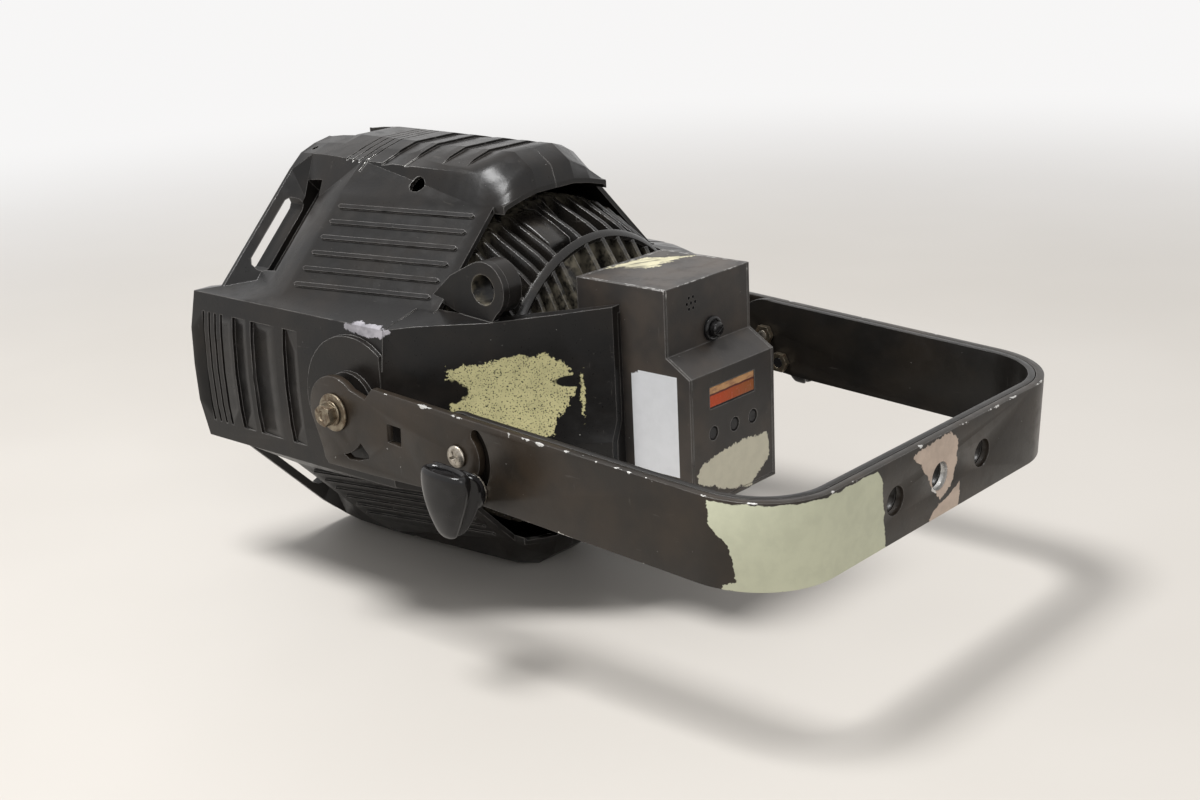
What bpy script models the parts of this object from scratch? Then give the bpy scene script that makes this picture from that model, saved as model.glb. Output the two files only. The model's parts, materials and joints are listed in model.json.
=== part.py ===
"""LED par can with a double yoke: two cast half shells, a finned heat sink, a folded control box.

The light faces -Y, the control box +Y and the yoke turns about X. The body's own frame has its
origin where the drum's axis crosses the cheeks' centre line.
"""

import math

import bpy
import bmesh
from mathutils import Matrix, Vector

MM = 0.001

# Clearances
GAP = 0.3 * MM
RUNNING_GAP = 0.35 * MM
MERGE = 0.002 * MM

# Body shells
CREST_RADIUS = 112.0 * MM
CREST_FLAT = 14.0 * MM
CREST_TURN = 26.0 * MM
CHEEK_DEPTH = 110.5 * MM
CHEEK_CROWN = 3.0 * MM
CHEEK_HALF_HEIGHT = 40.5 * MM
SHELL_WALL = 2.5 * MM
FRAME_WALL = 3.0 * MM
FRONT_RIM = -112.0 * MM
CHEEK_FRONT = -127.0 * MM
FRONT_LIP = 1.5 * MM
FRONT_PLATE = 3.5 * MM
PANEL_REAR = 35.8 * MM
CREASE = 24.0 * MM
TAIL_FACET = 40.0 * MM
TAIL_END = 42.8 * MM
TAIL_OPENING = 93.5 * MM
DIAGONAL_RIM = 141.0 * MM
DIAGONAL_WAIST = 128.0 * MM
DIAGONAL_FLANK = 132.0 * MM
DIAGONAL_SHOULDER = 147.9 * MM

# Corner frame behind the front rim
SLOT_WIDTH = 8.5 * MM
SLOT_LENGTH = 46.0 * MM
SLOT_RADIUS = 91.9 * MM
TROUGH_FRONT = -100.0 * MM
TROUGH_REAR = -86.0 * MM
TROUGH_FLOOR = 84.0 * MM
TROUGH_TOP_SIDE = 34.0 * MM
TROUGH_CHEEK_SIDE = 22.0 * MM
NOTCH_HALF_WIDTH = 15.0 * MM
NOTCH_FRONT = -112.0 * MM
NOTCH_REAR = -90.0 * MM
NOTCH_FLOOR = 103.0 * MM

# Louvre ribs on the diagonal panels
LOUVRE_COUNT = 6
LOUVRE_FRONT = -53.0 * MM
LOUVRE_REAR = 28.5 * MM
LOUVRE_TOP = 84.6 * MM
LOUVRE_BOTTOM = 50.8 * MM
LOUVRE_WIDTH = 2.4 * MM
LOUVRE_HEIGHT = 1.2 * MM
LOUVRE_ROOT = 1.4 * MM

# Grooves and wedges across the cheeks
GROOVE_WIDTH = 1.3 * MM
GROOVE_DEPTH = 1.0 * MM
WEDGE_DEPTH = 1.5 * MM
SIDE_GROOVES = (-117.0 * MM, -112.0 * MM, -107.0 * MM, -102.0 * MM)
SIDE_WEDGES = ((-92.0 * MM, -78.0 * MM), (-77.0 * MM, -53.0 * MM), (-51.0 * MM, -37.0 * MM))
SIDE_BAND = 30.5 * MM
TOP_GROOVES = (-70.0 * MM, -65.0 * MM, -60.0 * MM, -55.0 * MM)
TOP_WEDGES = (
    (-43.0 * MM, -28.0 * MM),
    (-27.0 * MM, -7.0 * MM),
    (-6.0 * MM, 10.0 * MM),
    (11.0 * MM, 22.0 * MM),
)

# Holes in the shoulder and behind the rim
SHOULDER_HOLE = 4.5 * MM
SHOULDER_HOLE_Y = -15.0 * MM
RIM_HOLE = 2.0 * MM
RIM_HOLE_X = 31.0 * MM
RIM_HOLE_Y = -105.5 * MM

# Pivot pad and boss
PIVOT_Y = 2.5 * MM
PAD_RADIUS = 35.0 * MM
PAD_HEIGHT = 0.7 * MM
BOSS_RADIUS = 17.5 * MM
BOSS_HEIGHT = 3.5 * MM
BOSS_CORE = 10.0 * MM
BOSS_CORE_DEPTH = 13.5 * MM

# Arm from the side cheek back to the control box
ARM_WALL = 3.0 * MM
ARM_MITRE = 1.3
ARM_TUCK = 0.15 * MM
ARM_END = 112.0 * MM
ARM_JOGGLE = 4.0 * MM
ARM_JOGGLE_TOP = -8.0 * MM
ARM_JOGGLE_BOTTOM = -18.0 * MM
ARM_JOGGLE_END = 66.0 * MM
ARM_LAP = 1.5 * MM
ARM_LAP_Z = 45.9 * MM
ARM_FOOT = 6.4 * MM
ARM_FOOT_HALF_HEIGHT = 45.0 * MM
ARM_END_Z = 49.0 * MM

# Each section of the arm: y, edge x, edge z, flange x, flange z, share of the cheek's crown
ARM_ROWS = (
    (PANEL_REAR, 99.5 * MM, 42.0 * MM, 79.8 * MM, 46.2 * MM, 0.7),
    (50.0 * MM, 90.0 * MM, 42.8 * MM, 76.0 * MM, 44.9 * MM, 0.4),
    (66.0 * MM, 79.0 * MM, 43.5 * MM, 70.0 * MM, 44.5 * MM, 0.1),
    (92.0 * MM, 58.0 * MM, 46.5 * MM, 50.0 * MM, 47.2 * MM, 0.0),
)

# Safety eyelet
EAR_FACE = 77.0 * MM
EAR_PLATE = 4.0 * MM
EAR_DEPTH = 13.0 * MM
EAR_RADIUS = 13.75 * MM
EAR_HOLE = 7.5 * MM
EAR_Y = 63.4 * MM
EAR_Z = 59.1 * MM
EAR_ARC = (118.0, -55.0)
EAR_WEB_ABOVE = ((35.8 * MM, 48.8 * MM), (27.0 * MM, 51.0 * MM), (41.5 * MM, 63.5 * MM))
EAR_WEB_BELOW = ((66.6 * MM, 41.7 * MM), (50.8 * MM, 44.0 * MM), (42.0 * MM, 46.5 * MM))

# Heat sink
FIN_COUNT = 48
FIN_THICKNESS = 2.0 * MM
FIN_RADIUS = 87.2 * MM
FIN_CLEARANCE = 0.67 * MM
FIN_FRONT = -67.0 * MM
CORE_RADIUS = 66.0 * MM
CORE_WALL = 4.0 * MM
DOME_RIM = 60.0 * MM
DOME_TOP_RADIUS = 48.0 * MM
CABLE_HOLE = 20.0 * MM
RING_BAR_RADIUS = 70.0 * MM
RING_BAR = 2.4 * MM
PAD_START = 68.0
PAD_END = 83.0
PAD_RISE = 84.5 * MM

# Drum and optics
DRUM_RADIUS = 77.5 * MM
DRUM_WALL = 3.5 * MM
DRUM_FRONT = -106.0 * MM
LED_PLATE_FACE = -78.0 * MM
LED_PLATE = 8.0 * MM
BOARD_THICKNESS = 1.6 * MM
LENS_OUTER_COUNT = 9
LENS_INNER_COUNT = 3
LENS_OUTER_CIRCLE = 52.0 * MM
LENS_INNER_CIRCLE = 22.0 * MM
LENS_RADIUS = 9.5 * MM
LENS_FOOT = 4.5 * MM
LENS_FLANGE = 11.0 * MM
LENS_LENGTH = 14.2 * MM
LENS_SEAT = 12.8 * MM
LENS_CROWN = 1.2 * MM
LENS_FLANGE_HEIGHT = 1.6 * MM
LENS_PLATE = 1.5 * MM
GASKET = 1.2 * MM
GASKET_WIDTH = 5.5 * MM
GLASS = 3.0 * MM
BEZEL_LIP = 2.0 * MM

# Control box
BOX_HALF_WIDTH = 33.3 * MM
BOX_FRONT = 84.0 * MM
BOX_TOP = 58.85 * MM
BOX_REAR_UPPER = 138.4 * MM
BOX_STEP = 14.0 * MM
BOX_STEP_TOP = 26.0 * MM
BOX_STEP_BOTTOM = 17.2 * MM
BOX_BOTTOM = -49.6 * MM
SHEET = 1.5 * MM
WINDOW_WIDTH = 35.0 * MM
WINDOW_HEIGHT = 10.2 * MM
WINDOW_X = 0.5 * MM
WINDOW_Z = 4.4 * MM
BUTTON_RADIUS = 3.3 * MM
BUTTON_FLANGE = 4.3 * MM
BUTTON_SINK = 0.5 * MM
BUTTON_TRAVEL = 0.8 * MM
BUTTON_Z = -13.6 * MM
BUTTON_PLACES = (15.9 * MM, -0.8 * MM, -15.6 * MM)
MIC_X = 13.0 * MM
MIC_Z = 48.5 * MM
MIC_HOLE = 0.7 * MM
MIC_CIRCLE = 3.2 * MM
MIC_RADIUS = 4.8 * MM
MIC_DEPTH = 6.0 * MM
FUSE_X = -1.9 * MM
FUSE_Z = 32.6 * MM
FUSE_FLANGE = 6.25 * MM
FUSE_BODY = 5.4 * MM
FUSE_BORE = 3.9 * MM
FUSE_DEPTH = 28.0 * MM
FUSE_CAP_HEIGHT = 3.6 * MM
INLET_WIDTH = 27.0 * MM
INLET_DEPTH = 19.5 * MM
INLET_FLANGE = 3.0 * MM
INLET_HEIGHT = 20.0 * MM
INLET_FROM_REAR = 15.9 * MM
INLET_WALL = 2.5 * MM
INLET_PINS = ((-6.5 * MM, -2.0 * MM), (0.0, 2.5 * MM), (6.5 * MM, -2.0 * MM))
SOCKET_RADIUS = 11.5 * MM
SOCKET_FLANGE = 14.5 * MM
SOCKET_HEIGHT = 18.0 * MM
SOCKET_X = 16.0 * MM
SOCKET_Y = 103.0 * MM
SOCKET_BORE = 8.5 * MM
PIN_CIRCLE = 4.4 * MM
SUPPLY_MARGIN = 4.0 * MM
CORE_BLOCK = (22.0 * MM, 18.0 * MM, 24.0 * MM)
CORE_CENTRE = (-9.0 * MM, 24.0 * MM)
BULK_RADIUS = 7.5 * MM
BULK_HEIGHT = 21.0 * MM
BULK_CENTRE = (14.0 * MM, 24.0 * MM)
COIL_RADIUS = 8.0 * MM
COIL_HEIGHT = 12.0 * MM
COIL_CENTRE = (-10.0 * MM, -8.0 * MM)
COOLER = (3.0 * MM, 16.0 * MM, 20.0 * MM)
COOLER_CENTRE = (9.5 * MM, -4.0 * MM)

# Yoke straps
YOKE_TILT = math.radians(3.12)
STRAP = 4.0 * MM
STRAP_REACH = 265.4 * MM
STRAP_CORNER = 40.7 * MM
STRAP_TOP = 18.0 * MM
STRAP_BOTTOM = -22.0 * MM
STRAP_DISC = 18.0 * MM
STRAP_DISC_ARC = (203.0, 50.0)
STRAP_TOE = (-15.4 * MM, -9.4 * MM)
STRAP_NOTCH = ((22.2 * MM, 11.3 * MM), (27.6 * MM, STRAP_TOP))
STRAP_HEEL = (
    (95.0 * MM, STRAP_BOTTOM),
    (63.7 * MM, STRAP_BOTTOM - 1.4 * MM),
    (25.2 * MM, STRAP_BOTTOM - 4.6 * MM),
    (-6.5 * MM, STRAP_BOTTOM - 6.6 * MM),
    (-8.9 * MM, STRAP_BOTTOM - 4.0 * MM),
    (-10.5 * MM, STRAP_BOTTOM + 1.8 * MM),
)
INDEX_RADIUS = 21.4 * MM
INDEX_ARC = (-75.0, -34.0)
INDEX_CORNER = (
    (23.4 * MM, -16.8 * MM),
    (23.8 * MM, -18.4 * MM),
    (16.5 * MM, -21.4 * MM),
    (9.0 * MM, -22.4 * MM),
)
INNER_STRAP = 3.5 * MM
HINGE_U = 84.8 * MM
HINGE_V = -1.4 * MM
INNER_END = 19.7 * MM
STUD_U = 95.9 * MM
STUD_V = -15.0 * MM
INNER_SWING = math.radians(95.0)
STUD_RADIUS = 2.8 * MM
ARC_SLOT = 6.6 * MM
CLAMP_HOLE = 6.75 * MM
CLAMP_PLACES = (37.0 * MM, 0.0 * MM, -37.0 * MM)
SQUARE_HOLE = 9.5 * MM
SQUARE_U = 42.2 * MM
SQUARE_V = -1.9 * MM

# Yoke hardware
PIVOT_BOLT = 3.9 * MM
PIVOT_HEX = 5.0 * MM
PIVOT_HEAD = 5.0 * MM
PIVOT_COLLAR = 6.4 * MM
PIVOT_COLLAR_HEIGHT = 1.2 * MM
PIVOT_WASHER = 9.6 * MM
PIVOT_WASHER_HEIGHT = 1.4 * MM
DISC_RADIUS = 12.0 * MM
DISC_HEIGHT = 5.35 * MM
SHANK_LENGTH = 20.95 * MM
SCREW_RADIUS = 2.9 * MM
SCREW_HEAD = 5.4 * MM
SCREW_HEAD_HEIGHT = 2.4 * MM
NUT_ACROSS = 10.0 * MM
NUT_HEIGHT = 3.2 * MM
KNOB_WASHER = 8.0 * MM
KNOB_WASHER_HEIGHT = 0.8 * MM
KNOB_HUB = 8.6 * MM
KNOB_FOOT = 3.2 * MM
KNOB_LENGTH = 22.0 * MM
KNOB_HALF_WIDTH = 14.5 * MM
KNOB_TOP = 17.0 * MM
KNOB_TIP = -18.0 * MM
KNOB_BULGE = 0.6
KNOB_DISH = (0.24, 0.42)
KNOB_DISH_DEPTH = 1.6 * MM

# Each row of the knob: height as a share of its top or tip, width, back and front shares
KNOB_ROWS = (
    (KNOB_TOP, 0.80, 0.10, 0.86),
    (0.82 * KNOB_TOP, 0.95, 0.03, 0.97),
    (0.47 * KNOB_TOP, 0.95, 0.0, 1.0),
    (0.0, 0.82, 0.0, 1.0),
    (0.45 * KNOB_TIP, 0.60, 0.12, 0.94),
    (0.85 * KNOB_TIP, 0.38, 0.22, 0.85),
    (KNOB_TIP, 0.26, 0.30, 0.76),
)

# Control box depths follow its upper rear face
BOX_REAR_LOWER = BOX_REAR_UPPER + BOX_STEP
INLET_Y = BOX_REAR_LOWER - INLET_FROM_REAR

# Pad, boss and straps stack outwards from the cheek
PAD_FACE = CHEEK_DEPTH + PAD_HEIGHT
BOSS_FACE = CHEEK_DEPTH + BOSS_HEIGHT
BOSS_ROOT = CHEEK_DEPTH - BOSS_CORE_DEPTH
STRAP_BACK = BOSS_FACE + GAP + DISC_HEIGHT + GAP
STRAP_FACE = STRAP_BACK + STRAP
STRAP_WIDTH = 2 * STRAP_FACE

# Where the body stands
YOKE_BACK = PIVOT_Y + STRAP_REACH * math.cos(YOKE_TILT) + STRAP_TOP * math.sin(YOKE_TILT)
BODY_Y = -(CHEEK_FRONT + YOKE_BACK) / 2
BODY_Z = CREST_RADIUS

ALONG_X = Matrix.Rotation(math.pi / 2, 4, "Y")
ALONG_Y = Matrix.Rotation(-math.pi / 2, 4, "X")
UPRIGHT_X = Matrix(((0, 0, 1, 0), (1, 0, 0, 0), (0, 1, 0, 0), (0, 0, 0, 1)))
UPRIGHT_Y = Matrix(((1, 0, 0, 0), (0, 0, -1, 0), (0, 1, 0, 0), (0, 0, 0, 1)))

FINISHES = {
    "casting": ((0.035, 0.030, 0.028), 0.42, 0.3),
    "strap": ((0.045, 0.038, 0.034), 0.38, 0.3),
    "sheet": ((0.030, 0.027, 0.026), 0.40, 0.2),
    "zinc": ((0.55, 0.47, 0.33), 0.35, 1.0),
    "steel": ((0.60, 0.58, 0.55), 0.30, 1.0),
    "knob": ((0.012, 0.012, 0.013), 0.15, 0.0),
    "plastic": ((0.020, 0.020, 0.022), 0.45, 0.0),
    "rubber": ((0.015, 0.015, 0.015), 0.80, 0.0),
    "glass": ((0.80, 0.85, 0.88), 0.05, 0.0),
    "window": ((0.25, 0.06, 0.02), 0.12, 0.0),
    "board": ((0.03, 0.16, 0.06), 0.50, 0.0),
}


# Scene and object helpers

def clear_scene():
    for item in list(bpy.data.objects):
        bpy.data.objects.remove(item, do_unlink=True)


def new_collection(name):
    made = bpy.data.collections.new(name)
    bpy.context.scene.collection.children.link(made)
    return made


def new_material(node, finish):
    colour, roughness, metallic = FINISHES[finish]
    made = bpy.data.materials.new(node)
    made.use_nodes = True
    shader = made.node_tree.nodes["Principled BSDF"]
    shader.inputs["Base Color"].default_value = (*colour, 1.0)
    shader.inputs["Roughness"].default_value = roughness
    shader.inputs["Metallic"].default_value = metallic
    return made


def new_empty(name, parent=None, location=(0, 0, 0), rotation=(0, 0, 0)):
    empty = bpy.data.objects.new(name, None)
    PARTS.objects.link(empty)
    empty.parent = parent
    empty.location = location
    empty.rotation_euler = rotation
    return empty


def solid(mesh):
    """A loose working solid, kept with the cutters until it is used up."""
    made = bpy.data.objects.new("cutter", mesh)
    made.hide_render = True
    made.display_type = "WIRE"
    CUTTERS.objects.link(made)
    return made


def part(node, body, finish, parent, location=(0, 0, 0), rotation=(0, 0, 0)):
    """Name a finished solid, or a shared mesh, and put it where it belongs."""
    mesh = body
    if isinstance(body, bpy.types.Object):
        mesh = body.data
        bpy.data.objects.remove(body, do_unlink=True)
    made = bpy.data.objects.new(node, mesh)
    PARTS.objects.link(made)
    made.parent = parent
    made.location = location
    made.rotation_euler = rotation
    if not mesh.materials:
        merge_flat_faces(mesh)
        mesh.name = node
        mesh.materials.append(None)
        mesh.shade_smooth()
        mesh.set_sharp_from_angle(angle=math.radians(30))
    made.material_slots[0].link = "OBJECT"
    made.material_slots[0].material = new_material(node, finish)
    return made


def evaluated_mesh(item):
    depsgraph = bpy.context.evaluated_depsgraph_get()
    return bpy.data.meshes.new_from_object(item.evaluated_get(depsgraph))


def closed_mesh(bm):
    bmesh.ops.remove_doubles(bm, verts=bm.verts, dist=MERGE)
    bmesh.ops.recalc_face_normals(bm, faces=bm.faces)
    mesh = bpy.data.meshes.new("solid")
    bm.to_mesh(mesh)
    bm.free()
    return mesh


def combine(base, operation, tools):
    """Boolean each tool into the base, then drop the tools."""
    for tool in tools:
        step = base.modifiers.new(operation, "BOOLEAN")
        step.operation = operation
        step.solver = "EXACT"
        step.object = tool
    mesh = evaluated_mesh(base)
    base.modifiers.clear()
    base.data = mesh
    for tool in tools:
        bpy.data.objects.remove(tool, do_unlink=True)
    return base


def merge_flat_faces(mesh):
    """Take out the edges that a Boolean leaves inside flat faces."""
    bm = bmesh.new()
    bm.from_mesh(mesh)
    bmesh.ops.dissolve_limit(bm, angle_limit=math.radians(0.05), verts=bm.verts, edges=bm.edges)
    bm.to_mesh(mesh)
    bm.free()


def join(base, *tools):
    return combine(base, "UNION", tools)


def cut(base, *tools):
    return combine(base, "DIFFERENCE", tools)


def keep(base, *tools):
    return combine(base, "INTERSECT", tools)


# Solids

def box(low, high):
    low = Vector(low)
    high = Vector(high)
    bm = bmesh.new()
    bmesh.ops.create_cube(bm, size=1.0)
    bmesh.ops.scale(bm, vec=high - low, verts=bm.verts)
    bmesh.ops.translate(bm, vec=(low + high) / 2, verts=bm.verts)
    return solid(closed_mesh(bm))


def rod(start, end, radius, segments=24, end_radius=None):
    start = Vector(start)
    end = Vector(end)
    axis = end - start
    bm = bmesh.new()
    bmesh.ops.create_cone(
        bm,
        cap_ends=True,
        segments=segments,
        radius1=radius,
        radius2=radius if end_radius is None else end_radius,
        depth=axis.length,
    )
    turn = Vector((0, 0, 1)).rotation_difference(axis).to_matrix().to_4x4()
    bmesh.ops.transform(bm, matrix=Matrix.Translation((start + end) / 2) @ turn, verts=bm.verts)
    return solid(closed_mesh(bm))


def plate(outlines, thickness, frame):
    """A flat outline, with any holes, extruded half its thickness each way from the frame's plane."""
    curve = bpy.data.curves.new("outline", "CURVE")
    curve.dimensions = "2D"
    curve.fill_mode = "BOTH"
    curve.extrude = thickness / 2
    for outline in outlines:
        spline = curve.splines.new("POLY")
        spline.points.add(len(outline) - 1)
        for point, place in zip(spline.points, outline):
            point.co = (place[0], place[1], 0, 1)
        spline.use_cyclic_u = True
    item = bpy.data.objects.new("outline", curve)
    CUTTERS.objects.link(item)
    mesh = evaluated_mesh(item)
    bpy.data.objects.remove(item, do_unlink=True)
    bm = bmesh.new()
    bm.from_mesh(mesh)
    bmesh.ops.transform(bm, matrix=frame, verts=bm.verts)
    return solid(closed_mesh(bm))


def turned(profile, steps, frame):
    """A profile of (radius, height) turned about the frame's Z, from the top axis down the outside."""
    bm = bmesh.new()
    verts = [bm.verts.new((radius, 0, height)) for radius, height in profile]
    for first, second in zip(verts, verts[1:] + verts[:1]):
        if first.co.x > 0 or second.co.x > 0:
            bm.edges.new((first, second))
    mesh = bpy.data.meshes.new("profile")
    bm.to_mesh(mesh)
    bm.free()
    item = solid(mesh)
    screw = item.modifiers.new("Turn", "SCREW")
    screw.steps = steps
    screw.render_steps = steps
    screw.use_merge_vertices = True
    screw.merge_threshold = MERGE
    mesh = evaluated_mesh(item)
    bpy.data.objects.remove(item, do_unlink=True)
    bm = bmesh.new()
    bm.from_mesh(mesh)
    bmesh.ops.transform(bm, matrix=frame, verts=bm.verts)
    return solid(closed_mesh(bm))


def loft(rings):
    """A closed body through rings of equal count, with flat ends."""
    bm = bmesh.new()
    rows = [[bm.verts.new(point) for point in ring] for ring in rings]
    count = len(rows[0])
    sides = []
    for near, far in zip(rows, rows[1:]):
        for index in range(count):
            after = (index + 1) % count
            sides.append(bm.faces.new((near[index], near[after], far[after], far[index])))
    bmesh.ops.triangulate(bm, faces=sides)
    bm.faces.new(rows[0])
    bm.faces.new(rows[-1])
    return solid(closed_mesh(bm))


def arc(centre, radius, start, end, steps):
    """Points on an arc, with its angles in radians."""
    points = []
    for step in range(steps + 1):
        angle = start + (end - start) * step / steps
        points.append((centre[0] + radius * math.cos(angle), centre[1] + radius * math.sin(angle)))
    return points


def inset(path, wall):
    """Move an open path to its right-hand side by the wall, with mitred corners."""
    shifted = []
    for index, place in enumerate(path):
        before = path[max(index - 1, 0)]
        after = path[min(index + 1, len(path) - 1)]
        into = (Vector(place) - Vector(before)) if index > 0 else (Vector(after) - Vector(place))
        out = (Vector(after) - Vector(place)) if index < len(path) - 1 else into
        into = into.normalized()
        out = out.normalized()
        first = Vector((into.y, -into.x))
        second = Vector((out.y, -out.x))
        middle = (first + second).normalized()
        shifted.append(tuple(Vector(place) + middle * (wall / middle.dot(first))))
    return shifted


def blend(value, start, end, low, high):
    share = (value - start) / (end - start)
    return low + (high - low) * share


def merged(solids):
    """Several solids that don't touch, as one tool."""
    bm = bmesh.new()
    for item in solids:
        bm.from_mesh(item.data)
        bpy.data.objects.remove(item, do_unlink=True)
    mesh = bpy.data.meshes.new("solid")
    bm.to_mesh(mesh)
    bm.free()
    return solid(mesh)


def stadium(length, width, steps=4):
    reach = (length - width) / 2
    right = arc((reach, 0), width / 2, -math.pi / 2, math.pi / 2, steps)
    left = arc((-reach, 0), width / 2, math.pi / 2, 3 * math.pi / 2, steps)
    return right + left


def rectangle(low, high):
    return [(low[0], low[1]), (high[0], low[1]), (high[0], high[1]), (low[0], high[1])]


def moved(frame, x=0, y=0, z=0):
    return Matrix.Translation((x, y, z)) @ frame


# Body shell sections

ROOT_TWO = math.sqrt(2)
DIAGONAL_REAR = (FIN_RADIUS + FIN_CLEARANCE + SHELL_WALL) * ROOT_TWO
SHOULDER_Y = -57.0 * MM
FACET_Y = 28.6 * MM
REAR_SHOULDER_X = 38.6 * MM
DRUM_BORE = DRUM_RADIUS + GAP


def diagonal_at(y):
    """Sum of x and z on the louvred panel, behind its shoulder."""
    return blend(y, SHOULDER_Y, PANEL_REAR, DIAGONAL_SHOULDER, DIAGONAL_REAR)


def shoulder_at(y):
    return blend(y, SHOULDER_Y, PANEL_REAR, 57.0 * MM, REAR_SHOULDER_X)


# Each row: y, crest height, cheek edge x, cheek edge z, diagonal sum, shoulder x, ledge z
RIM_ROW = (CREST_RADIUS - 2.3 * MM, 36.0 * MM, 103.6 * MM, DIAGONAL_RIM, 45.0 * MM, 42.5 * MM)
WAIST_ROW = (CREST_RADIUS - 1.0 * MM, 37.5 * MM, 104.4 * MM, DIAGONAL_WAIST, 46.0 * MM, 44.0 * MM)
FLANK_ROW = (CREST_RADIUS, 39.0 * MM, 105.0 * MM, DIAGONAL_FLANK, 48.0 * MM, 44.0 * MM)
SHOULDER_ROW = (CREST_RADIUS, 40.0 * MM, 104.6 * MM, DIAGONAL_SHOULDER, shoulder_at(SHOULDER_Y), 45.0 * MM)
CREASE_ROW = (CREST_RADIUS, 34.9 * MM, 103.8 * MM, diagonal_at(CREASE), shoulder_at(CREASE), 46.3 * MM)
FACET_ROW = (CREST_RADIUS, 36.0 * MM, 99.0 * MM, diagonal_at(FACET_Y), shoulder_at(FACET_Y), 46.4 * MM)
PANEL_ROW = (CREST_RADIUS - 5.0 * MM, 38.2 * MM, 91.0 * MM, DIAGONAL_REAR, REAR_SHOULDER_X, 46.5 * MM)
TAIL_ROW = (CREST_RADIUS - 8.0 * MM, 38.3 * MM, 90.5 * MM, DIAGONAL_REAR, REAR_SHOULDER_X, 46.5 * MM)
LIP_ROW = (TAIL_OPENING + 1.5 * MM, 38.3 * MM, 90.0 * MM, DIAGONAL_REAR, REAR_SHOULDER_X, 46.5 * MM)
TROUGH_ROW = (CREST_RADIUS - 1.0 * MM, 37.5 * MM, 104.4 * MM, TROUGH_FLOOR * ROOT_TWO, 34.8 * MM, 44.0 * MM)

SHELL_ROWS = (
    (CHEEK_FRONT - 3.0 * MM, RIM_ROW),
    (FRONT_RIM + 2.0 * MM, RIM_ROW),
    (TROUGH_FRONT, WAIST_ROW),
    (TROUGH_REAR, FLANK_ROW),
    (SHOULDER_Y, SHOULDER_ROW),
    (CREASE, CREASE_ROW),
    (FACET_Y, FACET_ROW),
    (PANEL_REAR, PANEL_ROW),
    (TAIL_FACET, TAIL_ROW),
    (TAIL_END, LIP_ROW),
)


def half_path(row, start_x):
    """Section of one half shell, from the top seam round the cheek to the bottom seam."""
    crest, edge_x, edge_z, diagonal, shoulder_x, ledge_z = row
    upper = [
        (start_x, crest),
        (CREST_FLAT, crest),
        (CREST_TURN, crest - 0.4 * (crest - edge_z)),
        (edge_x, edge_z),
        (shoulder_x, diagonal - shoulder_x),
        (diagonal - ledge_z, ledge_z),
        (CHEEK_DEPTH - CHEEK_CROWN, CHEEK_HALF_HEIGHT),
        (CHEEK_DEPTH - 0.23 * CHEEK_CROWN, CHEEK_HALF_HEIGHT / 2),
    ]
    lower = [(x, -z) for x, z in reversed(upper)]
    return upper + [(CHEEK_DEPTH, 0.0)] + lower


def inner_path(row, wall, ceiling=None):
    """The same section moved inwards by the wall, past the seam, under a flat ceiling if there is one."""
    path = inset(half_path(row, 0.0), wall)
    path[0] = (-2.0 * MM, path[0][1])
    path[-1] = (-2.0 * MM, path[-1][1])
    if ceiling is None:
        return path
    return [(x, max(-ceiling, min(ceiling, z))) for x, z in path]


def ring_at(y, path):
    return [(x, y, z) for x, z in path]


def shell_skin():
    outer = loft([ring_at(y, half_path(row, GAP / 2)) for y, row in SHELL_ROWS])
    plate_front = FRONT_RIM + FRONT_LIP
    plate_rear = plate_front + FRONT_PLATE
    high = CREST_RADIUS + 20.0 * MM
    ledge = RIM_ROW[5]
    front_edge = [
        (CHEEK_FRONT - 9.0 * MM, high),
        (FRONT_RIM, high),
        (FRONT_RIM, ledge),
        (CHEEK_FRONT + 3.0 * MM, CHEEK_HALF_HEIGHT),
        (CHEEK_FRONT, CHEEK_HALF_HEIGHT / 2),
        (CHEEK_FRONT, -CHEEK_HALF_HEIGHT / 2),
        (CHEEK_FRONT + 3.0 * MM, -CHEEK_HALF_HEIGHT),
        (FRONT_RIM, -ledge),
        (FRONT_RIM, -high),
        (CHEEK_FRONT - 9.0 * MM, -high),
    ]
    cheek_trim = plate([front_edge], 4 * CHEEK_DEPTH, UPRIGHT_X)
    recess_path = inner_path(RIM_ROW, FRAME_WALL)
    recess = loft([ring_at(CHEEK_FRONT - 8.0 * MM, recess_path), ring_at(plate_front, recess_path)])
    bore = rod((0, CHEEK_FRONT, 0), (0, plate_rear + 9.0 * MM, 0), DRUM_BORE, FIN_COUNT)
    floor_path = inner_path(TROUGH_ROW, FRAME_WALL)
    low_path = inner_path(TROUGH_ROW, FRAME_WALL, NOTCH_FLOOR - FRAME_WALL)
    lip_front = TAIL_END - 2 * SHELL_WALL - GAP
    opening_path = inner_path(LIP_ROW, SHELL_WALL, TAIL_OPENING)
    cavity = loft([
        ring_at(plate_rear, low_path),
        ring_at(NOTCH_REAR + 1.5 * MM, low_path),
        ring_at(NOTCH_REAR + 4.0 * MM, floor_path),
        ring_at(TROUGH_REAR + 2.0 * MM, floor_path),
        ring_at(TROUGH_REAR + 6.0 * MM, inner_path(FLANK_ROW, SHELL_WALL)),
        ring_at(SHOULDER_Y, inner_path(SHOULDER_ROW, SHELL_WALL)),
        ring_at(CREASE, inner_path(CREASE_ROW, SHELL_WALL)),
        ring_at(FACET_Y, inner_path(FACET_ROW, SHELL_WALL)),
        ring_at(PANEL_REAR, inner_path(PANEL_ROW, SHELL_WALL)),
        ring_at(lip_front, inner_path(PANEL_ROW, SHELL_WALL)),
        ring_at(lip_front + 0.2 * MM, opening_path),
        ring_at(TAIL_END + 9.0 * MM, opening_path),
    ])
    far = 2 * CHEEK_DEPTH
    tail_trim = box((REAR_SHOULDER_X, PANEL_REAR, -high), (far, TAIL_END + 9.0 * MM, high))
    crease_corner = diagonal_at(CREASE) - CREASE_ROW[5] + 0.2 * MM
    cheek_end = box((crease_corner, CREASE, -high), (far, TAIL_END + 9.0 * MM, high))
    return cut(outer, cheek_trim, recess, bore, cavity, tail_trim, cheek_end)


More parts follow.
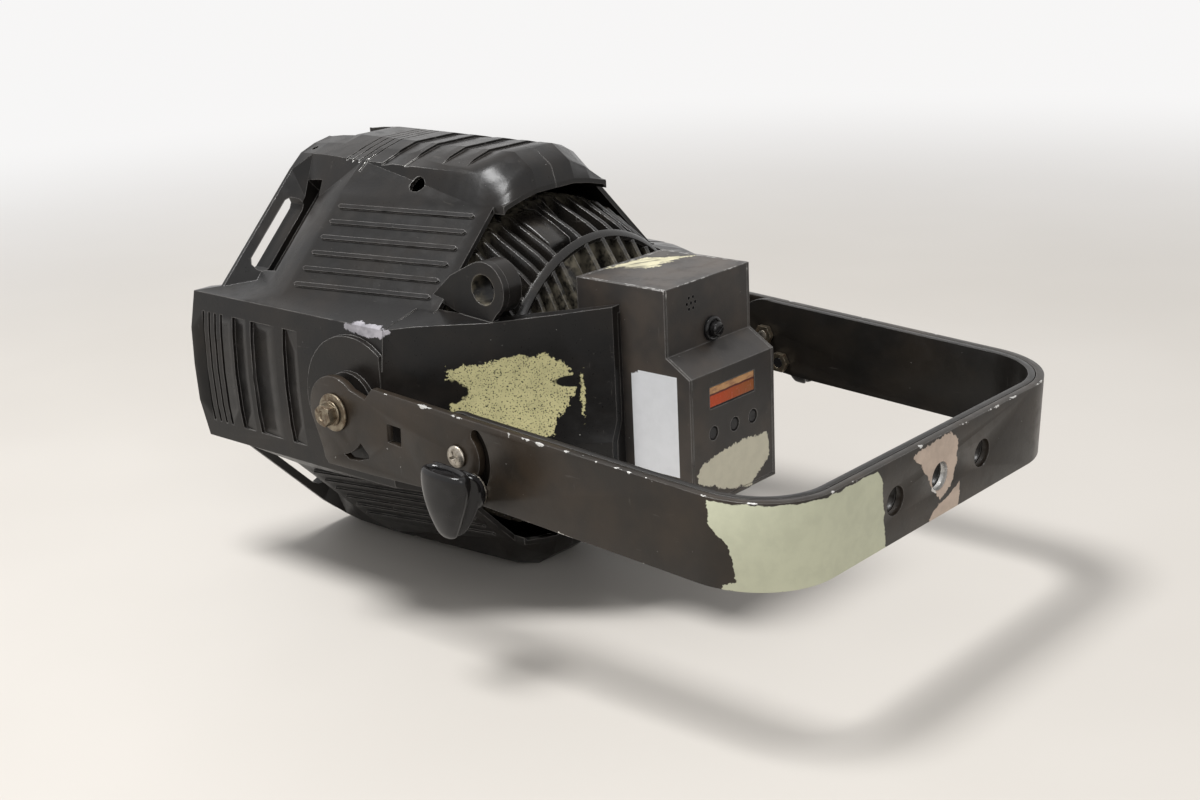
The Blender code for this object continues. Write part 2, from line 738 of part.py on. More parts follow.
# Arm, pad and eyelet

def joggle_at(y):
    return ARM_JOGGLE * min(1.0, max(0.0, blend(y, CREASE, ARM_JOGGLE_END, 0.0, 1.0)))


def arm_ring(y, edge_x, edge_z, flange_x, flange_z, crown):
    step = joggle_at(y)
    outer = [
        (flange_x, flange_z),
        (edge_x, edge_z),
        (edge_x + 0.77 * crown, edge_z / 2),
        (edge_x + crown, ARM_JOGGLE_TOP),
        (edge_x + 0.8 * crown + step, ARM_JOGGLE_BOTTOM),
        (edge_x + step, -edge_z),
        (flange_x, -flange_z),
    ]
    inner = inset(outer, ARM_MITRE * ARM_WALL)
    return ring_at(y, outer + inner[::-1])


def arm():
    edge_x = CHEEK_DEPTH - CHEEK_CROWN - ARM_TUCK
    inner_x = diagonal_at(CREASE) - CREASE_ROW[5]
    side_x = BOX_HALF_WIDTH + GAP
    lap_x = inner_x - ARM_LAP
    start = CREASE - 0.4 * MM
    rings = [arm_ring(start, edge_x, CHEEK_HALF_HEIGHT - ARM_TUCK, lap_x, ARM_LAP_Z, CHEEK_CROWN)]
    for y, row_x, row_z, flange_x, flange_z, share in ARM_ROWS:
        rings.append(arm_ring(y, row_x, row_z, flange_x, flange_z, share * CHEEK_CROWN))
    rings.append(arm_ring(ARM_END, side_x + ARM_FOOT, ARM_END_Z, side_x + 0.8 * MM, ARM_END_Z + 0.2 * MM, 0.0))
    body = loft(rings)
    foot_low = (side_x, ARM_END - 4.0 * MM, -ARM_FOOT_HALF_HEIGHT)
    foot = box(foot_low, (side_x + 6.0 * MM, ARM_END - 0.5 * MM, ARM_FOOT_HALF_HEIGHT))
    return join(body, foot)


def pivot_pad():
    pad = rod((CHEEK_DEPTH - 6.0 * MM, PIVOT_Y, 0), (PAD_FACE, PIVOT_Y, 0), PAD_RADIUS, 44)
    beyond = PIVOT_Y + 2 * PAD_RADIUS
    pad = cut(pad, box((0, CREASE - 0.6 * MM, -PAD_RADIUS * 2), (PAD_FACE * 2, beyond, PAD_RADIUS * 2)))
    boss = rod((CHEEK_DEPTH - 5.0 * MM, PIVOT_Y, 0), (BOSS_FACE, PIVOT_Y, 0), BOSS_RADIUS, 24)
    core = rod((BOSS_ROOT, PIVOT_Y, 0), (CHEEK_DEPTH - 1.0 * MM, PIVOT_Y, 0), BOSS_CORE, 12)
    return join(pad, boss, core)


def eyelet():
    centre = (EAR_Y, EAR_Z)
    start, end = EAR_ARC
    outline = list(EAR_WEB_ABOVE)
    outline += arc(centre, EAR_RADIUS, math.radians(start), math.radians(end), 12)
    outline += EAR_WEB_BELOW
    web = plate([outline], EAR_PLATE, moved(UPRIGHT_X, x=EAR_FACE - EAR_PLATE / 2))
    boss = rod((EAR_FACE - EAR_DEPTH, EAR_Y, EAR_Z), (EAR_FACE - GAP, EAR_Y, EAR_Z), EAR_RADIUS - GAP, 20)
    return join(web, boss)


# Details of the half shell

def corner_frame(side):
    """Axes across and out along a diagonal, for the upper or lower corner."""
    out = Vector((1, 0, side)) / ROOT_TWO
    across = Vector((1, 0, -side)) / ROOT_TWO
    depth = across.cross(out)
    frame = Matrix((across, out, depth)).transposed().to_4x4()
    return frame


def corner_cuts():
    tools = []
    for side in (1, -1):
        frame = corner_frame(side)
        slot = [(a, b + SLOT_RADIUS) for a, b in stadium(SLOT_LENGTH, SLOT_WIDTH)]
        slot_front = FRONT_RIM - 3.0 * MM
        slot_rear = TROUGH_FRONT + 1.0 * MM
        tools.append(plate([slot], slot_rear - slot_front, moved(frame, y=(slot_front + slot_rear) / 2)))
        trough = rectangle((-TROUGH_TOP_SIDE, TROUGH_FLOOR), (TROUGH_CHEEK_SIDE, TROUGH_FLOOR + 40.0 * MM))
        middle = (TROUGH_FRONT + TROUGH_REAR) / 2
        tools.append(plate([trough], TROUGH_REAR - TROUGH_FRONT, moved(frame, y=middle)))
        low = min(side * NOTCH_FLOOR, side * 2 * CREST_RADIUS)
        high = max(side * NOTCH_FLOOR, side * 2 * CREST_RADIUS)
        tools.append(box((-1.0 * MM, NOTCH_FRONT - 9.0 * MM, low), (NOTCH_HALF_WIDTH, NOTCH_REAR, high)))
    return tools


def band(path, push, front, rear, front_depth, rear_depth):
    """A cutter over a cheek's path, from one depth below it to another."""
    rings = []
    for y, depth in ((front, front_depth), (rear, rear_depth)):
        floor = [(x - push[0] * depth, z - push[1] * depth) for x, z in path]
        above = [(x + push[0] * 6.0 * MM, z + push[1] * 6.0 * MM) for x, z in path]
        rings.append(ring_at(y, floor + above[::-1]))
    return loft(rings)


def cheek_bands():
    crown = 0.23 * CHEEK_CROWN
    run_out = 0.6 * CHEEK_CROWN
    side_path = [
        (CHEEK_DEPTH - run_out, SIDE_BAND),
        (CHEEK_DEPTH - crown, CHEEK_HALF_HEIGHT / 2),
        (CHEEK_DEPTH, 0.0),
        (CHEEK_DEPTH - crown, -CHEEK_HALF_HEIGHT / 2),
        (CHEEK_DEPTH - run_out, -SIDE_BAND),
    ]
    edge_x = SHOULDER_ROW[1]
    edge_z = SHOULDER_ROW[2]
    turn_z = CREST_RADIUS - 0.4 * (CREST_RADIUS - edge_z)
    top_path = [
        (-1.0 * MM, CREST_RADIUS),
        (CREST_FLAT, CREST_RADIUS),
        (CREST_TURN, turn_z),
        (edge_x, edge_z),
        (edge_x + 5.0 * MM, edge_z - 4.0 * MM),
    ]
    tools = []
    above = -0.3 * MM
    for y in SIDE_GROOVES:
        tools.append(band(side_path, (1, 0), y, y + GROOVE_WIDTH, GROOVE_DEPTH, GROOVE_DEPTH))
    for front, rear in SIDE_WEDGES:
        tools.append(band(side_path, (1, 0), front, rear, WEDGE_DEPTH, above))
    for side in (1, -1):
        path = [(x, side * z) for x, z in top_path]
        for y in TOP_GROOVES:
            tools.append(band(path, (0, side), y, y + GROOVE_WIDTH, GROOVE_DEPTH, GROOVE_DEPTH))
        for front, rear in TOP_WEDGES:
            tools.append(band(path, (0, side), front, rear, WEDGE_DEPTH, above))
    return merged(tools)


def shoulder_holes():
    above = CREST_RADIUS + 9.0 * MM
    tools = [rod((RIM_HOLE_X, RIM_HOLE_Y, above - 26.0 * MM), (RIM_HOLE_X, RIM_HOLE_Y, above), RIM_HOLE, 8)]
    edge_x = blend(SHOULDER_HOLE_Y, SHOULDER_Y, CREASE, SHOULDER_ROW[1], CREASE_ROW[1])
    edge_z = blend(SHOULDER_HOLE_Y, SHOULDER_Y, CREASE, SHOULDER_ROW[2], CREASE_ROW[2])
    low_x = shoulder_at(SHOULDER_HOLE_Y)
    low_z = diagonal_at(SHOULDER_HOLE_Y) - low_x
    for side in (1, -1):
        top = Vector((edge_x, 0, side * edge_z))
        foot = Vector((low_x, 0, side * low_z))
        centre = (top + foot) / 2 + Vector((0, SHOULDER_HOLE_Y, 0))
        along = (foot - top).normalized()
        out = Vector((abs(along.z), 0, side * abs(along.x))).normalized()
        tools.append(rod(centre - out * 9.0 * MM, centre + out * 9.0 * MM, SHOULDER_HOLE, 12))
    return merged(tools)


def louvres():
    ribs = []
    for side in (1, -1):
        for index in range(LOUVRE_COUNT):
            z = blend(index, 0, LOUVRE_COUNT - 1, LOUVRE_TOP, LOUVRE_BOTTOM)
            front = Vector((diagonal_at(LOUVRE_FRONT) - z, LOUVRE_FRONT, side * z))
            rear = Vector((diagonal_at(LOUVRE_REAR) - z, LOUVRE_REAR, side * z))
            along = (rear - front).normalized()
            across = Vector((1, 0, -side)).normalized()
            out = along.cross(across)
            if out.x < 0:
                out = -out
            across = out.cross(along).normalized()
            frame = Matrix((along, across, out)).transposed().to_4x4()
            lift = (LOUVRE_HEIGHT - LOUVRE_ROOT) / 2
            place = Matrix.Translation((front + rear) / 2 + out * lift)
            outline = stadium((rear - front).length, LOUVRE_WIDTH, 2)
            ribs.append(plate([outline], LOUVRE_HEIGHT + LOUVRE_ROOT, place @ frame))
    return merged(ribs)


def shell_half():
    body = shell_skin()
    body = join(body, arm(), pivot_pad(), eyelet())
    start = BOSS_ROOT + 2.0 * MM
    bolt_hole = rod((start, PIVOT_Y, 0), (BOSS_FACE + 9.0 * MM, PIVOT_Y, 0), PIVOT_BOLT + GAP, 14)
    ear_start = EAR_FACE - 2 * EAR_DEPTH
    ear_hole = rod((ear_start, EAR_Y, EAR_Z), (EAR_FACE + 9.0 * MM, EAR_Y, EAR_Z), EAR_HOLE, 20)
    body = cut(body, bolt_hole, ear_hole, *corner_cuts(), cheek_bands(), shoulder_holes())
    return join(body, louvres())


# Heat sink, drum and optics

def heat_sink():
    board_back = LED_PLATE_FACE + LED_PLATE
    inner = CORE_RADIUS - CORE_WALL
    drum_inner = DRUM_RADIUS - DRUM_WALL
    rear = BOX_FRONT - GAP
    profile = [
        (0.0, board_back),
        (inner, board_back),
        (inner, DOME_RIM - 2.0 * MM),
        (DOME_TOP_RADIUS - CORE_WALL, rear - 12.0 * MM),
        (DOME_TOP_RADIUS - CORE_WALL, rear - CORE_WALL),
        (CABLE_HOLE, rear - CORE_WALL),
        (CABLE_HOLE, rear),
        (DOME_TOP_RADIUS, rear),
        (DOME_TOP_RADIUS, rear - 12.0 * MM),
        (CORE_RADIUS, DOME_RIM),
        (CORE_RADIUS, board_back),
        (DRUM_RADIUS, board_back),
        (DRUM_RADIUS, DRUM_FRONT),
        (drum_inner, DRUM_FRONT),
        (drum_inner, LED_PLATE_FACE),
        (0.0, LED_PLATE_FACE),
    ]
    body = turned(profile, FIN_COUNT, ALONG_Y)
    root = CORE_RADIUS - CORE_WALL / 2
    fin = [
        (root, FIN_FRONT),
        (FIN_RADIUS, FIN_FRONT),
        (FIN_RADIUS, 36.0 * MM),
        (FIN_RADIUS - 3.2 * MM, 42.0 * MM),
        (FIN_RADIUS - 11.2 * MM, 60.0 * MM),
        (RING_BAR_RADIUS, 68.5 * MM),
        (DOME_TOP_RADIUS + 2.0 * MM, rear - 0.6 * MM),
        (DOME_TOP_RADIUS - CORE_WALL / 2, rear - 0.6 * MM),
        (DOME_TOP_RADIUS - CORE_WALL / 2, rear - 11.0 * MM),
        (root, DOME_RIM - 1.0 * MM),
    ]
    pitch = 360.0 / FIN_COUNT
    fins = []
    for index in range(FIN_COUNT):
        angle = index * pitch
        if PAD_START < angle < PAD_END:
            continue
        fins.append(plate([fin], FIN_THICKNESS, radial_frame(math.radians(angle))))
    block = [
        (root, FIN_FRONT),
        (PAD_RISE, FIN_FRONT),
        (PAD_RISE, 37.0 * MM),
        (PAD_RISE - 6.0 * MM, 50.0 * MM),
        (PAD_RISE - 11.5 * MM, 60.0 * MM),
        (root, 62.0 * MM),
    ]
    middle = math.radians((PAD_START + PAD_END) / 2 - 0.5)
    width = 2 * PAD_RISE * math.sin(math.radians(pitch)) - FIN_THICKNESS / 2
    label_pad = plate([block], width, radial_frame(middle))
    bar = turned(
        [
            (RING_BAR_RADIUS + RING_BAR / 2, 69.3 * MM),
            (RING_BAR_RADIUS + RING_BAR / 2, 66.0 * MM),
            (RING_BAR_RADIUS - RING_BAR / 2, 66.0 * MM),
            (RING_BAR_RADIUS - RING_BAR / 2, 69.3 * MM),
        ],
        FIN_COUNT,
        ALONG_Y,
    )
    return join(body, merged(fins), label_pad, bar)


def radial_frame(angle):
    """Local X runs out from the drum's axis, local Y back along it."""
    out = Vector((math.cos(angle), 0, math.sin(angle)))
    back = Vector((0, 1, 0))
    return Matrix((out, back, out.cross(back))).transposed().to_4x4()


LENS_BACK = LED_PLATE_FACE - GAP - BOARD_THICKNESS - GAP
LENS_PLATE_BACK = LENS_BACK - LENS_SEAT - GAP
GASKET_BACK = LENS_PLATE_BACK - LENS_PLATE - GAP
GLASS_BACK = GASKET_BACK - GASKET - GAP
RING_BACK = GLASS_BACK - GLASS - GAP
OPTIC_RADIUS = DRUM_RADIUS - DRUM_WALL - GAP


def lens_places():
    places = []
    for count, radius in ((LENS_OUTER_COUNT, LENS_OUTER_CIRCLE), (LENS_INNER_COUNT, LENS_INNER_CIRCLE)):
        for index in range(count):
            angle = math.radians(90 + 360 * index / count)
            places.append((radius * math.cos(angle), radius * math.sin(angle)))
    return places


def lens():
    profile = [
        (0.0, 0.0),
        (LENS_FOOT, 0.0),
        (LENS_RADIUS, 0.4 * MM - LENS_SEAT + LENS_FLANGE_HEIGHT),
        (LENS_FLANGE, LENS_FLANGE_HEIGHT - LENS_SEAT),
        (LENS_FLANGE, -LENS_SEAT),
        (LENS_RADIUS, -LENS_SEAT),
        (0.8 * LENS_RADIUS, -LENS_LENGTH),
        (0.0, -LENS_LENGTH - LENS_CROWN),
    ]
    return turned(profile, 8, ALONG_Y)


def disc(front, back, radius, segments=36):
    return rod((0, front, 0), (0, back, 0), radius, segments)


def optics(body_frame):
    board = disc(LED_PLATE_FACE - GAP - BOARD_THICKNESS, LED_PLATE_FACE - GAP, OPTIC_RADIUS)
    part("led_board", board, "board", body_frame)
    shared = lens().data
    for index, (x, z) in enumerate(lens_places()):
        part(f"lens_{index + 1:02d}", shared, "glass", body_frame, location=(x, LENS_BACK, z))
    carrier = disc(LENS_PLATE_BACK - LENS_PLATE, LENS_PLATE_BACK, OPTIC_RADIUS)
    holes = []
    for x, z in lens_places():
        start = (x, LENS_PLATE_BACK - 9.0 * MM, z)
        holes.append(rod(start, (x, LENS_PLATE_BACK + 9.0 * MM, z), LENS_RADIUS + 2 * GAP, 8))
    part("lens_plate", cut(carrier, merged(holes)), "plastic", body_frame)
    seal = ring(GASKET_BACK, GASKET_BACK - GASKET, OPTIC_RADIUS, OPTIC_RADIUS - GASKET_WIDTH)
    part("gasket", seal, "rubber", body_frame)
    part("front_glass", disc(GLASS_BACK - GLASS, GLASS_BACK, OPTIC_RADIUS), "glass", body_frame)
    front = FRONT_RIM + FRONT_LIP + GAP
    flange = DRUM_FRONT - GAP
    bezel = [
        (OPTIC_RADIUS, RING_BACK),
        (OPTIC_RADIUS, flange),
        (DRUM_RADIUS, flange),
        (DRUM_RADIUS, front),
        (OPTIC_RADIUS - BEZEL_LIP, front),
        (OPTIC_RADIUS - GASKET_WIDTH, RING_BACK - BEZEL_LIP),
        (OPTIC_RADIUS - GASKET_WIDTH, RING_BACK),
    ]
    part("front_ring", turned(bezel, 36, ALONG_Y), "casting", body_frame)


def ring(back, front, outer, inner, segments=36, frame=ALONG_Y):
    return turned([(outer, back), (outer, front), (inner, front), (inner, back)], segments, frame)


# Control box

def box_outline():
    return [
        (BOX_FRONT, BOX_BOTTOM),
        (BOX_FRONT, BOX_TOP),
        (BOX_REAR_UPPER, BOX_TOP),
        (BOX_REAR_UPPER, BOX_STEP_TOP),
        (BOX_REAR_LOWER, BOX_STEP_BOTTOM),
        (BOX_REAR_LOWER, BOX_BOTTOM),
    ]


def socket_places():
    return ((SOCKET_X, SOCKET_Y), (-SOCKET_X, SOCKET_Y))


def box_base():
    body = plate([box_outline()], 2 * BOX_HALF_WIDTH, UPRIGHT_X)
    inner = BOX_HALF_WIDTH - SHEET
    room_low = (-inner, BOX_FRONT + SHEET, BOX_BOTTOM + SHEET)
    room_high = (inner, 2 * BOX_REAR_LOWER, 2 * BOX_TOP)
    below = BOX_BOTTOM - 9.0 * MM
    above = BOX_BOTTOM + 9.0 * MM
    half_x = INLET_WIDTH / 2 + GAP
    half_y = INLET_DEPTH / 2 + GAP
    tools = [box((-half_x, INLET_Y - half_y, below), (half_x, INLET_Y + half_y, above))]
    for x, y in socket_places():
        tools.append(rod((x, y, below), (x, y, above), SOCKET_RADIUS + 2 * GAP, 20))
    return cut(body, box(room_low, room_high), *tools)


def box_cover():
    outer = [
        (BOX_FRONT + SHEET + GAP, BOX_TOP),
        (BOX_REAR_UPPER, BOX_TOP),
        (BOX_REAR_UPPER, BOX_STEP_TOP),
        (BOX_REAR_LOWER, BOX_STEP_BOTTOM),
        (BOX_REAR_LOWER, BOX_BOTTOM + SHEET + GAP),
    ]
    outline = outer + inset(outer, SHEET)[::-1]
    body = plate([outline], 2 * (BOX_HALF_WIDTH - SHEET - GAP), UPRIGHT_X)
    through = 2 * BOX_REAR_LOWER
    tools = []
    for x in BUTTON_PLACES:
        tools.append(rod((x, BOX_REAR_UPPER, BUTTON_Z), (x, through, BUTTON_Z), BUTTON_RADIUS + GAP, 14))
    start = BOX_REAR_UPPER - 9.0 * MM
    tools.append(rod((FUSE_X, start, FUSE_Z), (FUSE_X, through, FUSE_Z), FUSE_BODY + GAP, 16))
    for x, z in mic_places():
        tools.append(rod((x, start, z), (x, through, z), MIC_HOLE, 6))
    half_x = WINDOW_WIDTH / 2 + GAP
    half_z = WINDOW_HEIGHT / 2 + GAP
    low = (WINDOW_X - half_x, BOX_REAR_UPPER, WINDOW_Z - half_z)
    tools.append(box(low, (WINDOW_X + half_x, through, WINDOW_Z + half_z)))
    return cut(body, *tools)


def mic_places():
    places = [(MIC_X, MIC_Z)]
    for index in range(6):
        angle = math.radians(60 * index)
        places.append((MIC_X + MIC_CIRCLE * math.cos(angle), MIC_Z + MIC_CIRCLE * math.sin(angle)))
    return places


SHEET_INSIDE = BOX_REAR_LOWER - SHEET
WINDOW_FLANGE_BACK = SHEET_INSIDE - GAP
WINDOW_FLANGE = 1.2 * MM
WINDOW_MARGIN = 2.0 * MM
DISPLAY_FACE = WINDOW_FLANGE_BACK - WINDOW_FLANGE - GAP
BUTTON_STEM_END = SHEET_INSIDE - 4.3 * MM
DISPLAY_BOARD_FACE = BUTTON_STEM_END - BUTTON_TRAVEL - GAP


def display_window():
    half_x = WINDOW_WIDTH / 2
    half_z = WINDOW_HEIGHT / 2
    back = WINDOW_FLANGE_BACK - WINDOW_FLANGE
    pane = box(
        (WINDOW_X - half_x, back, WINDOW_Z - half_z),
        (WINDOW_X + half_x, BOX_REAR_LOWER - GAP, WINDOW_Z + half_z),
    )
    wide_x = half_x + WINDOW_MARGIN
    wide_z = half_z + WINDOW_MARGIN
    flange = box(
        (WINDOW_X - wide_x, back, WINDOW_Z - wide_z),
        (WINDOW_X + wide_x, WINDOW_FLANGE_BACK, WINDOW_Z + wide_z),
    )
    return join(pane, flange)


def display_board():
    back = DISPLAY_BOARD_FACE - BOARD_THICKNESS
    wide = BOX_HALF_WIDTH - SHEET - 3.0 * MM
    low_z = BUTTON_Z - 2 * BUTTON_RADIUS
    high_z = WINDOW_Z + WINDOW_HEIGHT / 2 + 1.0 * MM
    board = box((-wide, back, low_z), (wide, DISPLAY_BOARD_FACE, high_z))
    half_x = WINDOW_WIDTH / 2 - 1.0 * MM
    half_z = WINDOW_HEIGHT / 2 - 0.5 * MM
    digits = box(
        (WINDOW_X - half_x, back, WINDOW_Z - half_z),
        (WINDOW_X + half_x, DISPLAY_FACE, WINDOW_Z + half_z),
    )
    return join(board, digits)


def button():
    """Origin on the button's axis at its pressing face."""
    face = BOX_REAR_LOWER - BUTTON_SINK
    flange_front = SHEET_INSIDE - GAP - face
    profile = [
        (0.0, 0.0),
        (BUTTON_RADIUS - 0.5 * MM, 0.0),
        (BUTTON_RADIUS, -0.5 * MM),
        (BUTTON_RADIUS, flange_front),
        (BUTTON_FLANGE, flange_front),
        (BUTTON_FLANGE, flange_front - 1.0 * MM),
        (0.5 * BUTTON_RADIUS, flange_front - 1.0 * MM),
        (0.5 * BUTTON_RADIUS, BUTTON_STEM_END - face),
        (0.0, BUTTON_STEM_END - face),
    ]
    return turned(profile, 10, ALONG_Y)


def fuse_holder():
    back = BOX_REAR_UPPER - FUSE_DEPTH
    flange_back = BOX_REAR_UPPER + GAP
    flange_face = flange_back + 1.2 * MM
    profile = [
        (FUSE_FLANGE, flange_face),
        (FUSE_FLANGE, flange_back),
        (FUSE_BODY, flange_back),
        (FUSE_BODY, back),
        (1.5 * MM, back),
        (1.5 * MM, back + 2.0 * MM),
        (FUSE_BORE, back + 2.0 * MM),
        (FUSE_BORE, flange_face),
    ]
    return turned(profile, 14, moved(ALONG_Y, x=FUSE_X, z=FUSE_Z))


def fuse_cap():
    """Origin on the holder's axis at its face."""
    profile = [
        (0.0, FUSE_CAP_HEIGHT),
        (FUSE_FLANGE - 1.0 * MM, FUSE_CAP_HEIGHT),
        (FUSE_FLANGE, FUSE_CAP_HEIGHT - 1.0 * MM),
        (FUSE_FLANGE, 0.0),
        (FUSE_BORE - GAP, 0.0),
        (FUSE_BORE - GAP, -12.0 * MM),
        (0.0, -12.0 * MM),
    ]
    cap = turned(profile, 14, ALONG_Y)
    slot_half = 0.8 * MM
    reach = FUSE_FLANGE - 1.6 * MM
    slot = box((-reach, FUSE_CAP_HEIGHT - 1.4 * MM, -slot_half), (reach, 2 * FUSE_CAP_HEIGHT, slot_half))
    return cut(cap, slot)


def power_supply():
    back = BOX_FRONT + SHEET + GAP
    wide = BOX_HALF_WIDTH - SHEET - SUPPLY_MARGIN
    low_z = BOX_BOTTOM + SOCKET_HEIGHT + 1.5 * SUPPLY_MARGIN
    high_z = BOX_TOP - SHEET - SUPPLY_MARGIN
    face = back + BOARD_THICKNESS
    root = back + BOARD_THICKNESS / 2
    board = box((-wide, back, low_z), (wide, face, high_z))
    parts = []
    for (width, height, tall), (x, z) in ((CORE_BLOCK, CORE_CENTRE), (COOLER, COOLER_CENTRE)):
        parts.append(box((x - width / 2, root, z - tall / 2), (x + width / 2, face + height, z + tall / 2)))
    for radius, height, (x, z) in (
        (BULK_RADIUS, BULK_HEIGHT, BULK_CENTRE),
        (COIL_RADIUS, COIL_HEIGHT, COIL_CENTRE),
    ):
        parts.append(rod((x, root, z), (x, face + height, z), radius, 20))
    return join(board, merged(parts))


def power_inlet():
    half_x = INLET_WIDTH / 2
    half_y = INLET_DEPTH / 2
    under = BOX_BOTTOM - GAP
    face = under - 2.0 * MM
    top = face + INLET_HEIGHT
    body = box((-half_x, INLET_Y - half_y, face), (half_x, INLET_Y + half_y, top))
    wide_x = half_x + INLET_FLANGE
    wide_y = half_y + INLET_FLANGE
    flange = box((-wide_x, INLET_Y - wide_y, face), (wide_x, INLET_Y + wide_y, under))
    body = join(body, flange)
    recess = box(
        (-half_x + INLET_WALL, INLET_Y - half_y + INLET_WALL, face - INLET_WALL),
        (half_x - INLET_WALL, INLET_Y + half_y - INLET_WALL, top - INLET_WALL),
    )
    body = cut(body, recess)
    pins = []
    for x, y in INLET_PINS:
        low = (x - 1.0 * MM, INLET_Y + y - 2.0 * MM, face + 6.0 * MM)
        pins.append(box(low, (x + 1.0 * MM, INLET_Y + y + 2.0 * MM, top - 0.5 * INLET_WALL)))
    return join(body, merged(pins))


def data_socket(male):
    """Turned about its own upright axis, with its origin on the box's underside."""
    under = -GAP
    face = under - 2.0 * MM
    top = face + SOCKET_HEIGHT
    profile = [
        (0.0, top),
        (SOCKET_RADIUS, top),
        (SOCKET_RADIUS, under),
        (SOCKET_FLANGE, under),
        (SOCKET_FLANGE, face),
        (SOCKET_BORE, face),
        (SOCKET_BORE, top - 4.0 * MM),
        (0.0, top - 4.0 * MM),
    ]
    body = turned(profile, 16, Matrix.Identity(4))
    pins = []
    for index in range(3):
        angle = math.radians(90 + 120 * index)
        x = PIN_CIRCLE * math.cos(angle)
        y = PIN_CIRCLE * math.sin(angle)
        if male:
            pins.append(rod((x, y, face + 5.0 * MM), (x, y, top - 3.0 * MM), 1.2 * MM, 6))
        else:
            pins.append(rod((x, y, face - 1.0 * MM), (x, y, top - 5.0 * MM), 1.4 * MM, 6))
    if male:
        return join(body, merged(pins))
    insert = rod((0, 0, face + 0.5 * MM), (0, 0, top - 3.0 * MM), SOCKET_BORE - 1.6 * MM, 16)
    return cut(join(body, insert), merged(pins))


def control_box(body_frame):
    part("control_box_base", box_base(), "sheet", body_frame)
    part("control_box_cover", box_cover(), "sheet", body_frame)
    part("display_window", display_window(), "window", body_frame)
    part("display_board", display_board(), "board", body_frame)
    shared = button().data
    face = BOX_REAR_LOWER - BUTTON_SINK
    for index, x in enumerate(BUTTON_PLACES):
        part(f"button_{index + 1}", shared, "plastic", body_frame, location=(x, face, BUTTON_Z))
    back = BOX_REAR_UPPER - SHEET - GAP
    capsule = rod((MIC_X, back - MIC_DEPTH, MIC_Z), (MIC_X, back, MIC_Z), MIC_RADIUS)
    part("microphone", capsule, "steel", body_frame)
    part("fuse_holder", fuse_holder(), "plastic", body_frame)
    cap_face = BOX_REAR_UPPER + 1.2 * MM + 2 * GAP
    part("fuse_cap", fuse_cap(), "plastic", body_frame, location=(FUSE_X, cap_face, FUSE_Z))
    part("power_supply", power_supply(), "board", body_frame)
    part("power_inlet", power_inlet(), "plastic", body_frame)
    (in_x, in_y), (out_x, out_y) = socket_places()
    part("data_in_socket", data_socket(True), "plastic", body_frame, location=(in_x, in_y, BOX_BOTTOM))
    part("data_out_socket", data_socket(False), "plastic", body_frame, location=(out_x, out_y, BOX_BOTTOM))


# Yoke straps, in their own frame: X along the pivot, Y along the arms, Z up

def strap_plan(width, thickness, reach, corner, start):
    """A bent strap seen from above: two arms, two corners and a base."""
    half = width / 2
    middle = reach - corner
    outer = [(half, start)]
    outer += arc((half - corner, middle), corner, 0, math.pi / 2, 8)
    outer += arc((corner - half, middle), corner, math.pi / 2, math.pi, 8)
    outer.append((-half, start))
    inner_half = half - thickness
    bend = corner - thickness
    inner = [(-inner_half, start)]
    inner += arc((corner - half, middle), bend, math.pi, math.pi / 2, 8)
    inner += arc((half - corner, middle), bend, math.pi / 2, 0, 8)
    inner.append((inner_half, start))
    return outer + inner


BLANK_HEIGHT = 2 * (STRAP_TOP - STRAP_BOTTOM)


def outer_strap():
    plan = strap_plan(STRAP_WIDTH, STRAP, STRAP_REACH, STRAP_CORNER, -2 * STRAP_DISC)
    body = plate([plan], BLANK_HEIGHT, Matrix())
    beyond = STRAP_REACH + STRAP_DISC
    start, end = STRAP_DISC_ARC
    side = [STRAP_TOE]
    side += arc((0, 0), STRAP_DISC, math.radians(start), math.radians(end), 11)
    side += STRAP_NOTCH
    side += [(beyond, STRAP_TOP), (beyond, STRAP_BOTTOM)]
    side += STRAP_HEEL
    body = keep(body, plate([side], 2 * STRAP_WIDTH, UPRIGHT_X))
    reach = STRAP_WIDTH
    start, end = INDEX_ARC
    index_window = arc((0, 0), INDEX_RADIUS, math.radians(start), math.radians(end), 4)
    index_window += INDEX_CORNER
    half = SQUARE_HOLE / 2
    tools = [
        rod((-reach, 0, 0), (reach, 0, 0), PIVOT_BOLT + GAP, 16),
        rod((-reach, HINGE_U, HINGE_V), (reach, HINGE_U, HINGE_V), SCREW_RADIUS + GAP, 16),
        plate([arc_slot()], 2 * STRAP_WIDTH, UPRIGHT_X),
        plate([index_window], 2 * STRAP_WIDTH, UPRIGHT_X),
        box((-reach, SQUARE_U - half, SQUARE_V - half), (reach, SQUARE_U + half, SQUARE_V + half)),
    ]
    return cut(body, *tools, clamp_holes())


def clamp_holes():
    middle = (STRAP_TOP + STRAP_BOTTOM) / 2
    holes = []
    for x in CLAMP_PLACES:
        holes.append(rod((x, STRAP_REACH / 2, middle), (x, 2 * STRAP_REACH, middle), CLAMP_HOLE, 20))
    return merged(holes)


STUD_CIRCLE = math.hypot(STUD_U - HINGE_U, STUD_V - HINGE_V)
STUD_ANGLE = math.atan2(STUD_V - HINGE_V, STUD_U - HINGE_U)


